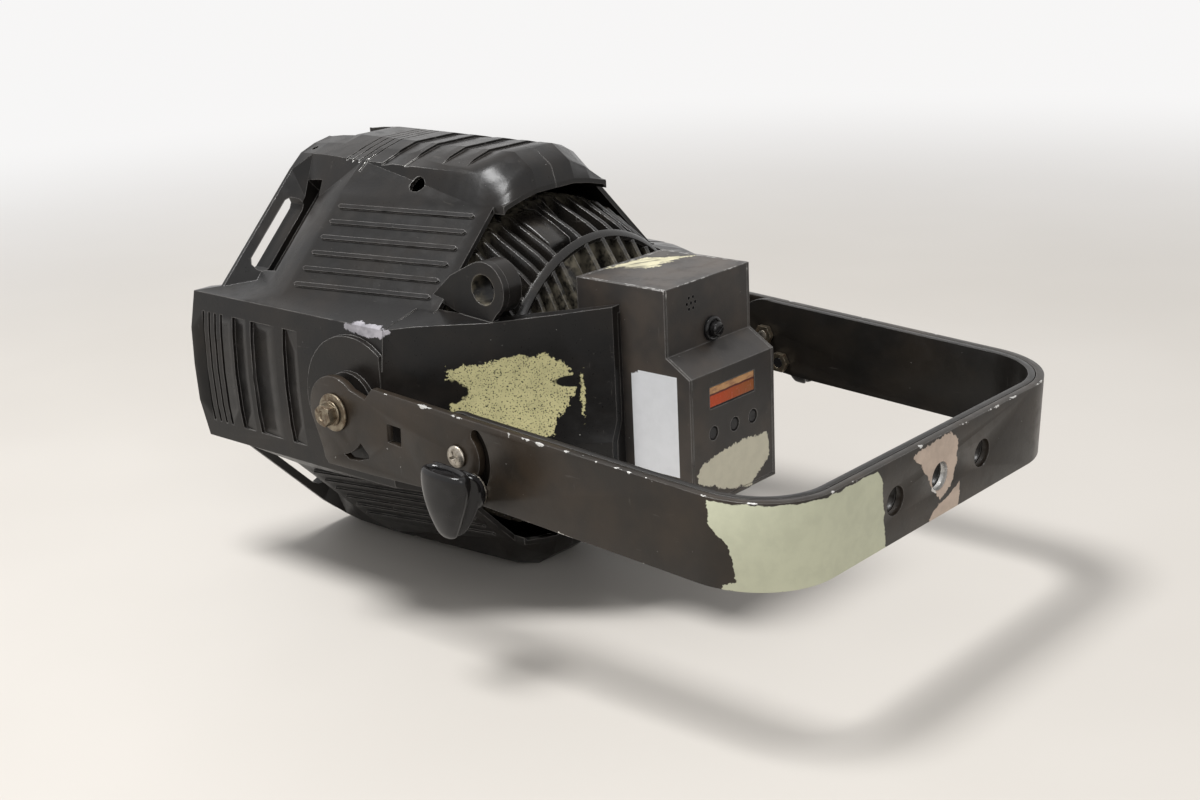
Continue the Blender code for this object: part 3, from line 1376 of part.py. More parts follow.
def arc_slot():
    """The slot that the stud runs in, round the hinge screw."""
    margin = math.radians(1.0)
    low = STUD_ANGLE - margin
    high = STUD_ANGLE + INNER_SWING + margin
    centre = (HINGE_U, HINGE_V)
    half = ARC_SLOT / 2
    outer = arc(centre, STUD_CIRCLE + half, low, high, 12)
    inner = arc(centre, STUD_CIRCLE - half, high, low, 12)
    top = (HINGE_U + STUD_CIRCLE * math.cos(high), HINGE_V + STUD_CIRCLE * math.sin(high))
    foot = (HINGE_U + STUD_CIRCLE * math.cos(low), HINGE_V + STUD_CIRCLE * math.sin(low))
    top_end = arc(top, half, high, high + math.pi, 5)
    foot_end = arc(foot, half, low + math.pi, low + 2 * math.pi, 5)
    return outer + top_end[1:-1] + inner + foot_end[1:-1]


INNER_WIDTH = STRAP_WIDTH - 2 * STRAP - 2 * RUNNING_GAP
INNER_REACH = STRAP_REACH - STRAP - RUNNING_GAP
INNER_CORNER = STRAP_CORNER - STRAP - RUNNING_GAP


def inner_strap():
    """Built in the strap frame, then shifted so that its origin is on the hinge screw."""
    plan = strap_plan(INNER_WIDTH, INNER_STRAP, INNER_REACH, INNER_CORNER, 0.0)
    body = plate([plan], BLANK_HEIGHT, Matrix())
    beyond = INNER_REACH + STRAP_DISC
    top_angle = math.asin((STRAP_TOP - HINGE_V) / INNER_END)
    side = arc((HINGE_U, HINGE_V), INNER_END, top_angle, 2 * math.pi - top_angle, 16)
    side += [(HINGE_U + INNER_END, STRAP_BOTTOM), (beyond, STRAP_BOTTOM), (beyond, STRAP_TOP)]
    body = keep(body, plate([side], 2 * STRAP_WIDTH, UPRIGHT_X))
    reach = STRAP_WIDTH
    hinge = rod((-reach, HINGE_U, HINGE_V), (reach, HINGE_U, HINGE_V), SCREW_RADIUS + GAP, 16)
    stud = rod((-reach, STUD_U, STUD_V), (reach, STUD_U, STUD_V), STUD_RADIUS + GAP, 16)
    body = cut(body, hinge, stud, clamp_holes())
    body.data.transform(Matrix.Translation((0, -HINGE_U, -HINGE_V)))
    return body


# Yoke hardware: the near pieces are modelled outwards along +X, and the far ones turn half round

INNER_FACE = INNER_WIDTH / 2
INNER_BACK = INNER_FACE - INNER_STRAP


def hexagon(start, end, across):
    return rod((start, 0, 0), (end, 0, 0), across / 2 / math.cos(math.pi / 6), 6)


def pivot_bolt():
    """Origin at the strap's outer face."""
    washer = PIVOT_WASHER_HEIGHT + 2 * GAP
    collar = washer + PIVOT_COLLAR_HEIGHT
    shank = rod((-SHANK_LENGTH, 0, 0), (washer + GAP, 0, 0), PIVOT_BOLT, 20)
    head = hexagon(collar - GAP, collar + PIVOT_HEAD, 2 * PIVOT_HEX)
    return join(shank, rod((washer, 0, 0), (collar, 0, 0), PIVOT_COLLAR, 14), head)


def washer(outer, inner, start, height):
    profile = [(outer, start + height), (outer, start), (inner, start), (inner, start + height)]
    return turned(profile, 14, ALONG_X)


def hinge_screw():
    """Origin at the strap's outer face."""
    head = turned(
        [
            (0.0, GAP + SCREW_HEAD_HEIGHT),
            (0.6 * SCREW_HEAD, GAP + SCREW_HEAD_HEIGHT),
            (0.9 * SCREW_HEAD, GAP + 0.7 * SCREW_HEAD_HEIGHT),
            (SCREW_HEAD, GAP + 0.2 * SCREW_HEAD_HEIGHT),
            (SCREW_HEAD, GAP),
            (0.0, GAP),
        ],
        16,
        ALONG_X,
    )
    tip = INNER_BACK - GAP - NUT_HEIGHT - STRAP_FACE
    return join(rod((tip, 0, 0), (1.0 * MM, 0, 0), SCREW_RADIUS, 12), head)


def nut(bore):
    """Origin at the outer strap's face, the nut behind the inner strap."""
    front = INNER_BACK - GAP - STRAP_FACE
    back = front - NUT_HEIGHT
    body = hexagon(back, front, NUT_ACROSS)
    return cut(body, rod((back - 1.0 * MM, 0, 0), (front + 1.0 * MM, 0, 0), bore, 12))


def knob():
    """Origin on the stud's axis at the outer strap's face."""
    foot = GAP + KNOB_WASHER_HEIGHT + GAP
    rings = []
    for z, width, back, front in KNOB_ROWS:
        low = KNOB_FOOT + KNOB_LENGTH * back
        high = KNOB_FOOT + KNOB_LENGTH * front
        middle = (low + high) / 2
        half_x = (high - low) / 2
        half_u = KNOB_HALF_WIDTH * width
        rings.append([(middle + half_x * a, half_u * b, z) for a, b in soft_square(12)])
    wing = loft(rings)
    middle = KNOB_FOOT + KNOB_LENGTH / 2
    floor, rim = KNOB_DISH
    dish = rod(
        (middle, 0, KNOB_TOP - KNOB_DISH_DEPTH),
        (middle, 0, KNOB_TOP + 2 * KNOB_DISH_DEPTH),
        floor * KNOB_LENGTH,
        14,
        rim * KNOB_LENGTH,
    )
    hub = rod((foot, 0, 0), (KNOB_FOOT + KNOB_WASHER, 0, 0), KNOB_HUB, 16)
    tip = INNER_BACK - GAP - NUT_HEIGHT - STRAP_FACE
    stud = rod((tip, 0, 0), (KNOB_FOOT + KNOB_WASHER / 2, 0, 0), STUD_RADIUS, 12)
    return join(cut(wing, dish), hub, stud)


def soft_square(count):
    """A square with full round corners, on the unit circle's scale."""
    points = []
    for index in range(count):
        angle = 2 * math.pi * (index + 0.5) / count
        a = math.cos(angle)
        b = math.sin(angle)
        points.append((math.copysign(abs(a) ** KNOB_BULGE, a), math.copysign(abs(b) ** KNOB_BULGE, b)))
    return points


def near_and_far(stem, solid_item, finish, parent, u, v, x=STRAP_FACE):
    mesh = solid_item.data
    part(f"{stem}_near", mesh, finish, parent, location=(x, u, v))
    part(f"{stem}_far", mesh, finish, parent, location=(-x, u, v), rotation=(0, 0, math.pi))


def yokes(body_frame):
    tilt = new_empty("yoke_axis", body_frame, (0, PIVOT_Y, 0), (-YOKE_TILT, 0, 0))
    part("outer_yoke", outer_strap(), "strap", tilt)
    near_and_far("pivot_bolt", pivot_bolt(), "zinc", body_frame, PIVOT_Y, 0)
    flat = washer(PIVOT_WASHER, PIVOT_BOLT + GAP, GAP, PIVOT_WASHER_HEIGHT)
    near_and_far("pivot_washer", flat, "zinc", body_frame, PIVOT_Y, 0)
    friction = washer(DISC_RADIUS, PIVOT_BOLT + GAP, BOSS_FACE + GAP - STRAP_FACE, DISC_HEIGHT)
    near_and_far("friction_disc", friction, "rubber", body_frame, PIVOT_Y, 0)
    near_and_far("hinge_screw", hinge_screw(), "steel", tilt, HINGE_U, HINGE_V)
    near_and_far("hinge_nut", nut(SCREW_RADIUS + GAP), "zinc", tilt, HINGE_U, HINGE_V)
    swing = new_empty("inner_axis", tilt, (0, HINGE_U, HINGE_V))
    part("inner_yoke", inner_strap(), "strap", swing)
    u = STUD_U - HINGE_U
    v = STUD_V - HINGE_V
    near_and_far("knob", knob(), "knob", swing, u, v)
    flat = washer(KNOB_WASHER, STUD_RADIUS + GAP, GAP, KNOB_WASHER_HEIGHT)
    near_and_far("knob_washer", flat, "steel", swing, u, v)
    near_and_far("stud_nut", nut(STUD_RADIUS + GAP), "zinc", swing, u, v)


def build():
    body_frame = new_empty("body_frame", None, (0, BODY_Y, BODY_Z))
    shell = shell_half().data
    part("shell_near", shell, "casting", body_frame)
    part("shell_far", shell, "casting", body_frame, rotation=(0, math.pi, 0))
    part("heat_sink", heat_sink(), "casting", body_frame)
    optics(body_frame)
    control_box(body_frame)
    yokes(body_frame)


clear_scene()
PARTS = new_collection("led_par_can")
CUTTERS = new_collection("cutters")
build()
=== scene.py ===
# %%
import json
import math

import bmesh
import bpy
from mathutils import Matrix, Vector

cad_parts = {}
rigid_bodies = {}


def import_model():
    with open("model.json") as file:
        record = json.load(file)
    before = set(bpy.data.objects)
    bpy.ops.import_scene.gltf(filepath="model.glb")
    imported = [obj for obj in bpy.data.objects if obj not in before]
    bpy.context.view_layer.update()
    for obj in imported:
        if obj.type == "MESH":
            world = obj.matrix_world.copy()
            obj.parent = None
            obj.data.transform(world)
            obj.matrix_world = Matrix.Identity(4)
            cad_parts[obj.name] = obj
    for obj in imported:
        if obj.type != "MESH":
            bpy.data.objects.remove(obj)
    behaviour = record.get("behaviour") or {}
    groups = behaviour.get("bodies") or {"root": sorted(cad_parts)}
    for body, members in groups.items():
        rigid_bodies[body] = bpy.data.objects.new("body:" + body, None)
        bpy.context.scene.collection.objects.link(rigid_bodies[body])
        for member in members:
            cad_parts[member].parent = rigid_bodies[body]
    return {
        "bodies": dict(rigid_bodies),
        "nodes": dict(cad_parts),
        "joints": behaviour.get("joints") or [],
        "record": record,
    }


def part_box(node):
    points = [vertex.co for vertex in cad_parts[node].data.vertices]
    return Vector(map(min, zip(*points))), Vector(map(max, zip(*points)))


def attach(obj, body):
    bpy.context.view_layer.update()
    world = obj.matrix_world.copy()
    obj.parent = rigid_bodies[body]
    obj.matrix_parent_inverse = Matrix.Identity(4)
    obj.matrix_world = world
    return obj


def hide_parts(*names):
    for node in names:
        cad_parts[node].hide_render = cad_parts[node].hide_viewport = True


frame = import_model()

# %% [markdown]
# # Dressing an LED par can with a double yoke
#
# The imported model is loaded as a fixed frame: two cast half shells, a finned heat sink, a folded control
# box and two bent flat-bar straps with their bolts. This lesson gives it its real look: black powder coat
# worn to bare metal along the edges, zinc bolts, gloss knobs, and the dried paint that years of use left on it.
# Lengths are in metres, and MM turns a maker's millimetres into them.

MM = 0.001
UP = Vector((0, 0, 1))

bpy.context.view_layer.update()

# %% [markdown]
# ## The camera
#
# The photograph was taken from behind and above, with the yoke's corner nearest. The camera is placed by its
# azimuth and height round the model, its distance along the view, and a slight roll that was never levelled out.

# %% Camera
VIEW_AZIMUTH = math.radians(131.835)
VIEW_HEIGHT = math.radians(17.89)
VIEW_ROLL = math.radians(-2.718)
VIEW_PLACE = Vector((664.85, 590.21, 383.48)) * MM
VIEW_LENS = 54.364

towards = Vector((
    math.sin(VIEW_AZIMUTH) * math.cos(VIEW_HEIGHT),
    -math.cos(VIEW_AZIMUTH) * math.cos(VIEW_HEIGHT),
    math.sin(VIEW_HEIGHT),
))
level = UP.cross(towards).normalized()
rise = towards.cross(level)
side = math.cos(VIEW_ROLL) * level + math.sin(VIEW_ROLL) * rise
top = math.cos(VIEW_ROLL) * rise - math.sin(VIEW_ROLL) * level

bpy.ops.object.camera_add()
camera = bpy.context.object
camera.name = "camera"
camera.matrix_world = Matrix.Translation(VIEW_PLACE) @ Matrix((side, top, towards)).transposed().to_4x4()
camera.data.lens = VIEW_LENS
camera.data.sensor_width = 36.0
camera.data.clip_start = 0.01
camera.data.clip_end = 50.0
bpy.context.scene.camera = camera
bpy.context.scene.view_settings.view_transform = "Standard"
print("camera", [round(value, 3) for value in camera.location])

# %% [markdown]
# ## Shader maths as Python
#
# A material is a graph of nodes, and most of its nodes are sums. `Wire` wraps a socket so that
# `1 - mask * 0.5` writes the Math nodes by itself, and `Finish.node` adds any other node in one line:
# its type, its settings, then what goes into its sockets. Every pattern reads Object coordinates, so it
# stays on the piece when the piece moves.

# %% Wire and Finish
class Wire:
    """A socket that takes part in Python sums."""

    def __init__(self, finish, socket):
        self.finish = finish
        self.socket = socket

    def sum(self, operation, first, second):
        return self.finish.node("ShaderNodeMath", {"operation": operation}, {0: first, 1: second})

    def __add__(self, other):
        return self.sum("ADD", self, other)

    def __radd__(self, other):
        return self.sum("ADD", other, self)

    def __sub__(self, other):
        return self.sum("SUBTRACT", self, other)

    def __rsub__(self, other):
        return self.sum("SUBTRACT", other, self)

    def __mul__(self, other):
        return self.sum("MULTIPLY", self, other)

    def __rmul__(self, other):
        return self.sum("MULTIPLY", other, self)

    def __truediv__(self, other):
        return self.sum("DIVIDE", self, other)

    def most(self, other):
        return self.sum("MAXIMUM", self, other)

    def least(self, other):
        return self.sum("MINIMUM", self, other)


class Finish:
    """One procedural material, laid down in coats over a base."""

    def __init__(self, name):
        self.material = bpy.data.materials.new(name)
        self.material.use_nodes = True
        self.tree = self.material.node_tree
        self.tree.nodes.clear()
        self.place = self.node("ShaderNodeTexCoord", output="Object")

    def node(self, kind, settings=None, inputs=None, output=0):
        made = self.tree.nodes.new(kind)
        for key, value in (settings or {}).items():
            if key == "points":
                line = made.mapping.curves[0].points
                line[0].location, line[1].location = value[0], value[-1]
                for place in value[1:-1]:
                    line.new(*place)
                for point in line:
                    point.handle_type = "VECTOR"
                made.mapping.update()
            else:
                setattr(made, key, value)
        for key, value in (inputs or {}).items():
            socket = made.inputs[key]
            if isinstance(value, Wire):
                self.tree.links.new(value.socket, socket)
            elif socket.type == "RGBA":
                socket.default_value = (*value, 1.0)
            else:
                socket.default_value = value
        return Wire(self, made.outputs[output]) if made.outputs else made

    def step(self, value, low, high):
        """0 below low and 1 above high, with a soft step between them."""
        return self.node(
            "ShaderNodeMapRange",
            {"interpolation_type": "SMOOTHSTEP"},
            {"Value": value, "From Min": low, "From Max": high},
        )

    def between(self, value, low, high, soft):
        """1 from low to high, with a soft step outside each."""
        return self.step(value, low - soft, low) * (1 - self.step(value, high, high + soft))

    def noise(self, size, detail=2.0, low=0.0, high=1.0, stretch=(1, 1, 1), place=None):
        """Noise with grains of a size in metres, stepped between two levels."""
        place = place or self.place
        if stretch != (1, 1, 1):
            place = self.vector("MULTIPLY", place, stretch)
        raw = self.node(
            "ShaderNodeTexNoise",
            inputs={"Vector": place, "Scale": 1 / size, "Detail": detail, "Roughness": 0.6},
            output="Fac",
        )
        if (low, high) == (0.0, 1.0):
            return raw
        return self.step(raw, low, high)

    def shake(self, size, detail, width):
        """Noise about zero, as wide as the edge that it tears."""
        return (self.noise(size, detail) - 0.5) * width

    def vector(self, operation, first, second):
        return self.node("ShaderNodeVectorMath", {"operation": operation}, {0: first, 1: second}, "Vector")

    def mix(self, mask, below, above):
        """The colour below, with the colour above laid on by the mask."""
        return self.node("ShaderNodeMix", {"data_type": "RGBA"}, {0: mask, 6: below, 7: above}, 2)

    def axes(self, place):
        split = self.tree.nodes.new("ShaderNodeSeparateXYZ")
        self.tree.links.new(place.socket, split.inputs[0])
        return [Wire(self, socket) for socket in split.outputs]

    def from_line(self, across, up):
        """How far a place is from a line, from its two offsets."""
        return self.node("ShaderNodeMath", {"operation": "SQRT"}, {0: across * across + up * up})

    def edges(self, radius, low=0.02, high=0.14):
        """Where the surface turns within the radius: arrises, rims and the lips of holes."""
        soft = self.node("ShaderNodeBevel", {"samples": 6}, {"Radius": radius}, "Normal")
        flat = self.node("ShaderNodeNewGeometry", output="Normal")
        along = self.node("ShaderNodeVectorMath", {"operation": "DOT_PRODUCT"}, {0: soft, 1: flat}, "Value")
        return self.step(1 - along, low, high)

    def patch(self, centre, half, ragged=0.35, grain=0.006, sharp=0.08):
        """A splash of paint: inside an ellipsoid in millimetres, with an edge that noise tears."""
        away = self.vector("SUBTRACT", self.place, Vector(centre) * MM)
        scaled = self.vector("DIVIDE", away, Vector(half) * MM)
        reach = self.node("ShaderNodeVectorMath", {"operation": "LENGTH"}, {0: scaled}, "Value")
        torn = reach + self.shake(grain, 5.0, ragged * 2)
        return 1 - self.step(torn, 1 - sharp, 1 + sharp)

    def curve(self, along, points):
        """A height read off a line through (along, height) points, all in millimetres."""
        starts = [point[0] for point in points]
        heights = [point[1] for point in points]
        length, rise = starts[-1] - starts[0], max(heights) - min(heights) or 1.0
        shares = [((a - starts[0]) / length, (h - min(heights)) / rise) for a, h in points]
        read = self.node("ShaderNodeFloatCurve", {"points": shares}, {"Value": (along - starts[0]) / length})
        return read * rise + min(heights)

    def outline(self, along, up, low, high, tear=(9.0, 4.0), sharp=0.25):
        """Inside a lower and an upper line. Noise shifts the place both ways, which tears the edge."""
        broad, fine = tear
        along = along + self.shake(7 * MM, 4.0, broad) + self.shake(1.7 * MM, 2.0, fine)
        up = up + self.shake(6 * MM, 4.0, broad) + self.shake(1.4 * MM, 2.0, fine)
        above = up - self.curve(along, low)
        below = self.curve(along, high) - up
        after = along - max(low[0][0], high[0][0])
        before = min(low[-1][0], high[-1][0]) - along
        return self.step(above.least(below).least(after).least(before), -sharp, sharp)

    def finish(self, colour, roughness, metallic=0.0, bump=None, bump_depth=0.1 * MM, bevel=None, **sockets):
        """The shader itself: a bevel rounds the arrises, a bump gives the grain, and the rest are its sockets."""
        normal = None
        if bevel:
            normal = self.node("ShaderNodeBevel", {"samples": 6}, {"Radius": bevel}, "Normal")
        if bump is not None:
            inputs = {"Strength": 1.0, "Distance": bump_depth, "Height": bump}
            if normal:
                inputs["Normal"] = normal
            normal = self.node("ShaderNodeBump", inputs=inputs, output="Normal")
        inputs = {"Base Color": colour, "Roughness": roughness, "Metallic": metallic}
        if normal:
            inputs["Normal"] = normal
        inputs.update({key.replace("_", " "): value for key, value in sockets.items()})
        shader = self.node("ShaderNodeBsdfPrincipled", inputs=inputs)
        self.node("ShaderNodeOutputMaterial", inputs={"Surface": shader})
        return self.material


# %% [markdown]
# ## Where things are
#
# The straps lie in their own frame: X along the pivot bolts, Y out along the arms, Z up. That frame droops
# by three degrees where the yoke rests in the photograph. The hinge screws and the knobs' studs are placed
# in the same frame, so one matrix sets them all. `strap_measures` gives the same frame to a material.

# %% Frames
PIVOT = Vector((0, -68.243, 112.0)) * MM
CORE = Vector((0, -70.74, 112.0)) * MM
DROOP = math.radians(-3.12)
STRAP_FRAME = Matrix.Translation(PIVOT) @ Matrix.Rotation(DROOP, 4, "X")
SIDEWAYS = Matrix(((0, 0, 1, 0), (1, 0, 0, 0), (0, 1, 0, 0), (0, 0, 0, 1)))
STRAP_FACE = 123.95
STRAP_REACH = 265.4
STRAP_CORNER = 40.7
STRAP_TOP, STRAP_FOOT = 18.0, -22.0
HINGE = (84.8, -1.4)
STUD = (95.9, -15.0)


def on_strap(along, up, far, base=STRAP_FRAME):
    """A frame at a place on the strap's outer face, with its Z pointing straight out of the strap."""
    x, turn = (-STRAP_FACE, -90) if far else (STRAP_FACE, 90)
    return base @ Matrix.Translation(Vector((x, along, up)) * MM) @ Matrix.Rotation(math.radians(turn), 4, "Y")


def arc(centre, radius, begin, end, steps):
    """Points round a centre, with the angles in degrees."""
    points = []
    for step in range(steps + 1):
        angle = math.radians(begin + (end - begin) * step / steps)
        points.append((centre[0] + radius * math.cos(angle), centre[1] + radius * math.sin(angle)))
    return points


def strap_measures(f):
    """Millimetres along the arm, up the strap's side, and in from its outer face."""
    x, y, z = f.axes(f.place)
    out, high = y / MM - PIVOT.y / MM, z / MM - PIVOT.z / MM
    along = out * math.cos(DROOP) + high * math.sin(DROOP)
    up = high * math.cos(DROOP) - out * math.sin(DROOP)
    either_side = f.node("ShaderNodeMath", {"operation": "ABSOLUTE"}, {0: x}) / MM
    past_x = (either_side - (STRAP_FACE - STRAP_CORNER)).most(0.0)
    past_y = (along - (STRAP_REACH - STRAP_CORNER)).most(0.0)
    return along, up, STRAP_CORNER - f.from_line(past_x, past_y)


print("strap droops by", round(-math.degrees(DROOP), 2), "degrees")

# %% [markdown]
# ## Black powder coat
#
# Every casting and strap wears the same kind of coat: black powder, baked on, with a fine orange-peel skin.
# Handling polishes its edges, which lowers their roughness, and a lighter colour painted along them stands in
# for the highlight they catch. It knocks chips off its edges down to bright metal, and leaves dust in its
# pores. One function lays these coats down in that order. Each piece then adds its own patches of dried
# paint on top, because a patch belongs to one place on one piece.

# %% Powder coat
BARE_METAL = (0.62, 0.61, 0.59)
# Painted highlight: the lighter colour laid along the coat's edges, where gloss would catch the lamp.
PAINTED_EDGE_HIGHLIGHT = (0.19, 0.182, 0.174)
SCUFFED = (0.12, 0.11, 0.10)
DUST = (0.17, 0.15, 0.11)
WARM_FADE = (1.8, 1.6, 1.4)


def tinted(colour, share):
    """The same colour, lighter or darker."""
    return tuple(channel * share for channel in colour)


def powder_coat(name, black, sheen, wear, edge, extra=None, dust=None, chips=None, shine=0.32):
    """Black powder coat: its colour and roughness, how much of each edge is bare and how wide that edge is,
    the patches, dust and chips of its own piece, and how brightly the skin shines."""
    f = Finish(name)
    cloud = f.noise(34 * MM, 3.0, 0.38, 0.72)
    faded = tuple(channel * tint for channel, tint in zip(black, WARM_FADE))
    colour = f.mix(cloud, black, faded)
    rubbed = f.noise(7 * MM, 4.0, 0.42, 0.72)
    rough = sheen + rubbed * 0.09 + f.noise(0.9 * MM, 2.0) * 0.07
    fine = f.noise(0.5 * MM, 2.0) * 0.35 + f.noise(1.9 * MM, 2.0)

    rim = f.edges(edge)
    # Real polish lowers the roughness along the edges; the lighter colour laid there is a painted highlight.
    polish_and_highlight = rim * f.noise(11 * MM, 4.0, 0.22, 0.55)
    colour = f.mix(polish_and_highlight * 0.9, colour, PAINTED_EDGE_HIGHLIGHT)
    rough = rough - polish_and_highlight * 0.12
    bare = rim * f.noise(4.5 * MM, 5.0, 0.70 - wear * 0.22, 0.76 - wear * 0.22)
    bare = bare.most(f.noise(2.2 * MM, 3.0, 0.755, 0.77) * 0.7)
    if chips is not None:
        bare = bare.most(chips(f, rim))
    colour = f.mix(bare, colour, BARE_METAL)
    scuffs_along = f.noise(3.0 * MM, 4.0, 0.67, 0.76, (1, 0.12, 1))
    scuffs_up = f.noise(3.0 * MM, 4.0, 0.68, 0.77, (1, 1, 0.15))
    colour = f.mix(scuffs_along.most(scuffs_up) * 0.30, colour, SCUFFED)
    if dust is not None:
        settled = dust(f) * f.noise(5 * MM, 5.0, 0.35, 0.65)
        colour = f.mix(settled, colour, DUST)
        rough = rough + settled * 0.35
    metal = bare * 0.8
    height = fine * 0.5 - bare * 0.6
    for shape, tone, speckle, stain in (extra(f) if extra else ()):
        cover = shape * f.noise(0.8 * MM, 2.0, 0.36, 0.43) if speckle else shape
        shade = f.mix(f.noise(8 * MM, 4.0, 0.35, 0.70), tone, tinted(tone, stain))
        colour = f.mix(cover, colour, shade)
        metal = metal * (1 - cover)
        rough = rough + cover * 0.20
        height = height + cover * 0.9
    return f.finish(colour, rough, metal, height, 0.08 * MM, edge * 0.6, Specular_IOR_Level=shine)


# %% [markdown]
# ## Patches of dried paint and bare primer
#
# Dried paint is the first thing one sees on this lamp: a pale yellow-green splash on the near panel, a
# grey-green one round the yoke's corner, smears on the control box, and primer showing round the middle
# clamp hole. Each outline is a lower and an upper line through a few measured points, read off by Float
# Curve nodes, and noise tears its edge into crumbs.

# %% Patches on the near casting
YELLOW_GREEN = (0.58, 0.54, 0.285)
LILAC_WHITE = (0.40, 0.385, 0.415)
PANEL_TOP = (
    (-21, 133), (-7.6, 135.2), (-1.6, 137.5), (6, 139.1), (10.3, 137.9), (16.5, 139.4), (22.5, 135.7), (26.6, 131),
)
PANEL_FOOT = (
    (-21, 112), (-16, 108), (-5, 101), (8, 97.5), (18.4, 97.8), (19.2, 106), (23.4, 111.5), (25.8, 119.5),
    (26.6, 130),
)


def near_shell_patches(f):
    """The splash on the panel below the louvres, bitten into on both sides, and the smear over the cheek."""
    y, z = f.axes(f.place)[1:]
    panel = f.outline(y / MM, z / MM, PANEL_FOOT, PANEL_TOP)
    left_bite = f.patch((88, -20.5, 121.5), (60, 7.0, 6.0), 0.35, 3 * MM)
    right_bite = f.patch((55, 27.5, 125.2), (60, 8.5, 2.9), 0.30, 3 * MM)
    crumbs = f.patch((52, 29.5, 118), (60, 0.9, 9), 2.0, 1.3 * MM)
    panel = (panel * (1 - left_bite) * (1 - right_bite)).most(crumbs)
    lip = f.patch((107, -59, 150.6), (7, 14, 3.0), 0.8, 4.5 * MM)
    return (panel, YELLOW_GREEN, True, 0.86), (lip, LILAC_WHITE, False, 0.6)


def shoulder_chips(f, rim):
    """Knocks along the shoulder's edge, where the lamp is set down and dragged."""
    shoulder = f.patch((37, -95, 214), (9, 52, 9), 0.3, 12 * MM, 0.3)
    return shoulder * rim * f.noise(3.2 * MM, 5.0, 0.44, 0.50)


print("the panel's splash has", len(PANEL_TOP) + len(PANEL_FOOT), "outline points")

# %% Patches on the outer strap
GREY_GREEN = (0.53, 0.54, 0.40)
PRIMER = (0.55, 0.44, 0.36)
CORNER_LEFT = (
    (-22.5, 44), (-20.4, 44.5), (-18.5, 52.6), (-8.6, 50.8), (-0.7, 47.2), (2.6, 41), (6.1, 38), (18.5, 38),
)
CORNER_RIGHT = ((-22.5, 152.6), (-13.5, 151.3), (0.4, 150), (10.7, 149.2), (15.2, 146), (18.5, 141))
PRIMER_TOP = ((-13.6, 12.5), (-12.3, 13.4), (-7.8, 17), (5, 17), (22.7, 15.2), (24, 13.4))
PRIMER_FOOT = ((-13.6, -1), (-9.1, -10.8), (-1.3, -14), (5.7, -6.1), (12.6, 2.85), (22.7, 13), (24, 13.2))
SECOND_TOP = ((-17.8, -9.5), (-9.6, -14.4), (2.5, -16.2), (8, -21.5))
SECOND_FOOT = ((-17.8, -24), (8, -24))
PAINT_TOP = 17.0
CLAMP_UP = -2.0


def on_base(f, y):
    """1 on the strap's base, which lies across behind both arms."""
    return f.step(y, 0.19, 0.192)


def strap_patches(f):
    """Paint round the near corner, short of its top edge, and primer round the middle clamp hole."""
    x, y = f.axes(f.place)[:2]
    up, depth = strap_measures(f)[1:]
    face = 1 - f.step(depth, 0.25, 0.6)
    diagonal = (y - x) / MM
    below_edge = 1 - f.step(up + f.shake(5 * MM, 3.0, 3), PAINT_TOP - 0.4, PAINT_TOP)
    near_half = f.step(x, 0.030, 0.032)
    corner = f.outline(up, diagonal, CORNER_LEFT, CORNER_RIGHT, (4.5, 2.0)) * below_edge * face * near_half
    primer = f.outline(x / MM, up, PRIMER_FOOT, PRIMER_TOP, (5.0, 2.0))
    primer = primer.most(f.outline(x / MM, up, SECOND_FOOT, SECOND_TOP, (5.0, 2.0))) * face * on_base(f, y)
    return (corner, GREY_GREEN, False, 0.92), (primer, PRIMER, False, 0.82)


def strap_chips(f, rim):
    """Chips that bite in from the outer top and bottom arrises, and the middle clamp hole scraped bright."""
    x, y = f.axes(f.place)[:2]
    up, depth = strap_measures(f)[1:]
    bite = (f.noise(7 * MM, 4.0) - 0.585) * 16
    top = f.step(bite - (STRAP_TOP - up).most(depth), -0.10, 0.15)
    foot = f.step(bite - 0.9 - (up - STRAP_FOOT).most(depth), -0.10, 0.15)
    from_hole = f.from_line(x / MM, up - CLAMP_UP)
    hole = (1 - f.step(from_hole + f.shake(3 * MM, 3.0, 3), 7.6, 8.0)) * on_base(f, y)
    return top.most(foot).most(hole)


print("the corner's paint ends", STRAP_TOP - PAINT_TOP, "mm below the strap's top edge")

# %% Patches on the control box
PALE_YELLOW = (0.60, 0.56, 0.39)
DRIED_CREAM = (0.62, 0.59, 0.47)
BLANK_LABEL = (0.70, 0.71, 0.73)
PAINTED_HOLE_SHADE = (0.002, 0.002, 0.002)
LOW_TOP = ((-28, 84), (-26.7, 87), (-11.9, 88.7), (12.9, 87.6), (26, 85.5), (30.2, 81))
LOW_FOOT = ((-28, 74), (-19.1, 68), (-13, 63), (4.4, 66.5), (28.3, 76.2), (30.2, 80))
SMEAR_FOOT = ((-7, 18.6), (6, 15), (14, 10.5), (24, 9), (31, 15), (44, 18))
SMEAR_TOP = ((-7, 19.4), (3, 21), (12, 30), (20, 29), (26, 22), (44, 19))
SMEAR_TURN = (0.446, 0.895)
MICROPHONE = (13.0, 160.5)
BOX_BACK = 67.7


